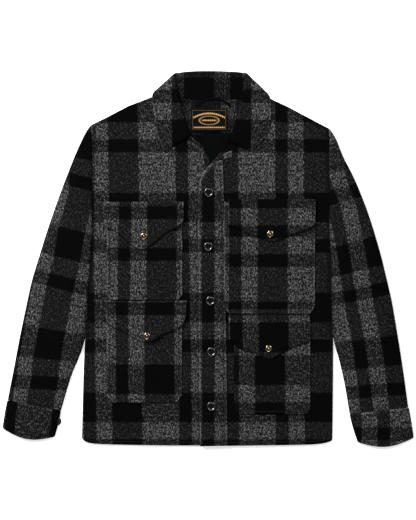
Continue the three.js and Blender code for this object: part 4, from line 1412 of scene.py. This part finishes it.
cuff_shape = turned_mesh(BUTTON_PROFILE, CUFF_BUTTON_RADIUS, CUFF_BUTTON_HEIGHT, CUFF_HOLES)
edge_on = tilted(66, -13)
piece = place_turned("horn_button_cuff", cuff_shape, CUFF_BUTTON_PLACE, HORN_FACE, turn=edge_on)
declare(piece, "button_cuff")
snap_shape = turned_mesh(SNAP_PROFILE, SNAP_RADIUS, SNAP_HEIGHT)
snap_middle = (DARK_BRASS, 0.22 * SNAP_RADIUS, 0.64 * SNAP_RADIUS, 0.4 * SNAP_HEIGHT)
for pocket in POCKETS:
    name, spot = pocket["name"], pocket["snap"]
    flap_top = layers_up(pocket_place(pocket["bag"])[1], 3)
    z = height_under(flap_top, spot, SNAP_RADIUS) + SNAP_LIFT
    piece = place_turned("brass_snap_" + name, snap_shape, (*spot, z), BRASS, snap_middle)
    declare(piece, "snap_" + name)
print(len(BUTTONS), "buttons on the band, one on a cuff,", len(POCKETS), "snaps")

# %% [markdown]
# Every edge of the jacket is topstitched with thick black thread. A stitch is the same short
# capsule again and again along a line, which is what Geometry Nodes are for: the tree resamples a
# path at the stitch's length and sets one capsule at each point, turned along the path.

# %% A tree that sews
THREAD_RADIUS = 0.42


def sewing_tree():
    """The node tree, and what its inputs are called in a modifier."""
    tree = bpy.data.node_groups.new("sewing", "GeometryNodeTree")
    tree.interface.new_socket("Path", in_out="INPUT", socket_type="NodeSocketGeometry")
    sizes = {}
    for name in ("Stitch length", "Spacing", "Thread radius"):
        socket = tree.interface.new_socket(name, in_out="INPUT", socket_type="NodeSocketFloat")
        sizes[name] = socket.identifier
    socket = tree.interface.new_socket("Thread", in_out="INPUT", socket_type="NodeSocketMaterial")
    sizes["Thread"] = socket.identifier
    tree.interface.new_socket("Stitches", in_out="OUTPUT", socket_type="NodeSocketGeometry")
    nodes = {}

    def add(key, kind, inputs, **settings):
        """A node under a key. An input is a plain value, or the key and output that feed it."""
        node = nodes[key] = tree.nodes.new(kind)
        for name, value in settings.items():
            setattr(node, name, value)
        for socket, value in inputs.items():
            if isinstance(value, tuple):
                source, output = value
                tree.links.new(nodes[source].outputs[output], node.inputs[socket])
            else:
                node.inputs[socket].default_value = value

    add("in", "NodeGroupInput", {})
    add("curve", "GeometryNodeMeshToCurve", {"Mesh": ("in", "Path")})
    spaced = {"Curve": ("curve", "Curve"), "Length": ("in", "Spacing")}
    add("even", "GeometryNodeResampleCurve", spaced, mode="LENGTH")
    add("tangent", "GeometryNodeInputTangent", {})
    add("turn", "FunctionNodeAlignEulerToVector", {"Vector": ("tangent", "Tangent")}, axis="X")
    add("ball", "GeometryNodeMeshUVSphere", {"Segments": 6, "Rings": 4})
    add("half", "ShaderNodeMath", {0: ("in", "Stitch length"), 1: 0.5}, operation="MULTIPLY")
    thin = ("in", "Thread radius")
    add("scale", "ShaderNodeCombineXYZ", {"X": ("half", 0), "Y": thin, "Z": thin})
    stitch = {"Points": ("even", "Curve"), "Instance": ("ball", "Mesh")}
    stitch.update({"Rotation": ("turn", "Rotation"), "Scale": ("scale", "Vector")})
    add("sew", "GeometryNodeInstanceOnPoints", stitch)
    add("real", "GeometryNodeRealizeInstances", {"Geometry": ("sew", "Instances")})
    dyed = {"Geometry": ("real", "Geometry"), "Material": ("in", "Thread")}
    add("dye", "GeometryNodeSetMaterial", dyed)
    add("out", "NodeGroupOutput", {"Stitches": ("dye", "Geometry")})
    return tree, sizes


SEWING, SEWING_SIZES = sewing_tree()


def sew(name, paths, length=2.4, spacing=3.3):
    """Stitches along paths of points in millimetres, as one plain mesh."""
    points, edges = [], []
    for path in paths:
        start = len(points)
        points += (np.asarray(path) * MM).tolist()
        edges += [(i, i + 1) for i in range(start, len(points) - 1)]
    mesh = bpy.data.meshes.new(name + "_path")
    mesh.from_pydata(points, edges, [])
    piece = add_to_studio(name + "_path", mesh)
    modifier = piece.modifiers.new("sewing", "NODES")
    modifier.node_group = SEWING
    modifier[SEWING_SIZES["Stitch length"]] = length * MM
    modifier[SEWING_SIZES["Spacing"]] = spacing * MM
    modifier[SEWING_SIZES["Thread radius"]] = THREAD_RADIUS * MM
    modifier[SEWING_SIZES["Thread"]] = THREAD
    evaluated = piece.evaluated_get(bpy.context.evaluated_depsgraph_get())
    sewn = add_to_studio(name, bpy.data.meshes.new_from_object(evaluated))
    bpy.data.objects.remove(piece)
    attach(sewn, "root")
    print(name, len(sewn.data.polygons), "faces")


print("sewing tree with", len(SEWING.nodes), "nodes")

# %% [markdown]
# The stitch lines lie in the shallow ditches that the sheets already have, a little inside their
# edges. Each path is a rim of a patch drawn inwards, dropped on the cloth's own height.

# %% Stitch lines


def inner_rim(shape, size, inset, rests, up, sides):
    """Lines of a patch a little inside its edges: l, r and b for left, right and bottom."""
    du, dv = inset / size[0], inset / size[1]
    t = np.linspace(0, 1, 160)
    runs = {
        "l": (np.full_like(t, du), dv + (1 - 2 * dv) * t),
        "r": (np.full_like(t, 1 - du), dv + (1 - 2 * dv) * t),
        "b": (du + (1 - 2 * du) * t, np.full_like(t, dv)),
    }
    paths = []
    for side in sides:
        xy = shape(*runs[side])
        z = rests(xy[:, 0], xy[:, 1]) + up
        paths.append(np.c_[xy, z])
    return paths


for pocket in POCKETS:
    size, rests, _ = pocket_place(pocket["bag"])
    bag, up = pocket_shape(pocket["bag"]), CLOTH - 0.35
    rim = inner_rim(bag, size, SEAM_INSET, layers_up(rests, 1), up, "lbr")
    sew("stitches_pocket_" + pocket["name"], rim)
LONG_SEAMS = (
    ("band", band_shape, BAND_SIZE, BAND_INSET, on_left_cloth, CLOTH - 0.15, "lr"),
    ("hem_right", right_shape, RIGHT_SIZE, HEM_INSET, on_right_front, CLOTH - 0.3, "b"),
    ("hem_left", left_shape, LEFT_SIZE, HEM_INSET, on_left_front, CLOTH - 0.3, "b"),
)
for name, *seam in LONG_SEAMS:
    sew("stitches_" + name, inner_rim(*seam))

# Each buttonhole is a short slit beside its button, worked round with close dark stitches.
SLIT_START, SLIT_END = 11.5, 22.5
slits = []
for x, y in BUTTONS:
    across = np.linspace(x + SLIT_START, x + SLIT_END, 24)
    for side in (-0.7, 0.7):
        along = np.full_like(across, y - 0.5 + side)
        slits.append(np.c_[across, along, on_band(across, along) + 0.1])
sew("stitches_buttonholes", slits, length=1.6, spacing=1.9)

# %% [markdown]
# The floor is a plain pale sheet of paper.

# %% Floor and finish


def studio_paper():
    s = Shade("studio_paper")
    grain = s.noise(s.place(), 60, 2, 0.5)
    s.wear(Base_Color=s.mix(grain, (0.93, 0.93, 0.93), (0.96, 0.96, 0.96)), Roughness=0.9)
    s.wear(Specular_IOR_Level=0.1, Emission_Color=(1.0, 1.0, 1.0), Emission_Strength=0.45)
    return s.material


FLOOR_HALF, FLOOR_LEVEL = 6.0, -0.0004
corners = [(-1, -1), (1, -1), (1, 1), (-1, 1)]
points = [(x * FLOOR_HALF, y * FLOOR_HALF, FLOOR_LEVEL) for x, y in corners]
floor_mesh = bpy.data.meshes.new("floor")
floor_mesh.from_pydata(points, [], [(0, 1, 2, 3)])
floor = add_piece("floor", floor_mesh, studio_paper())
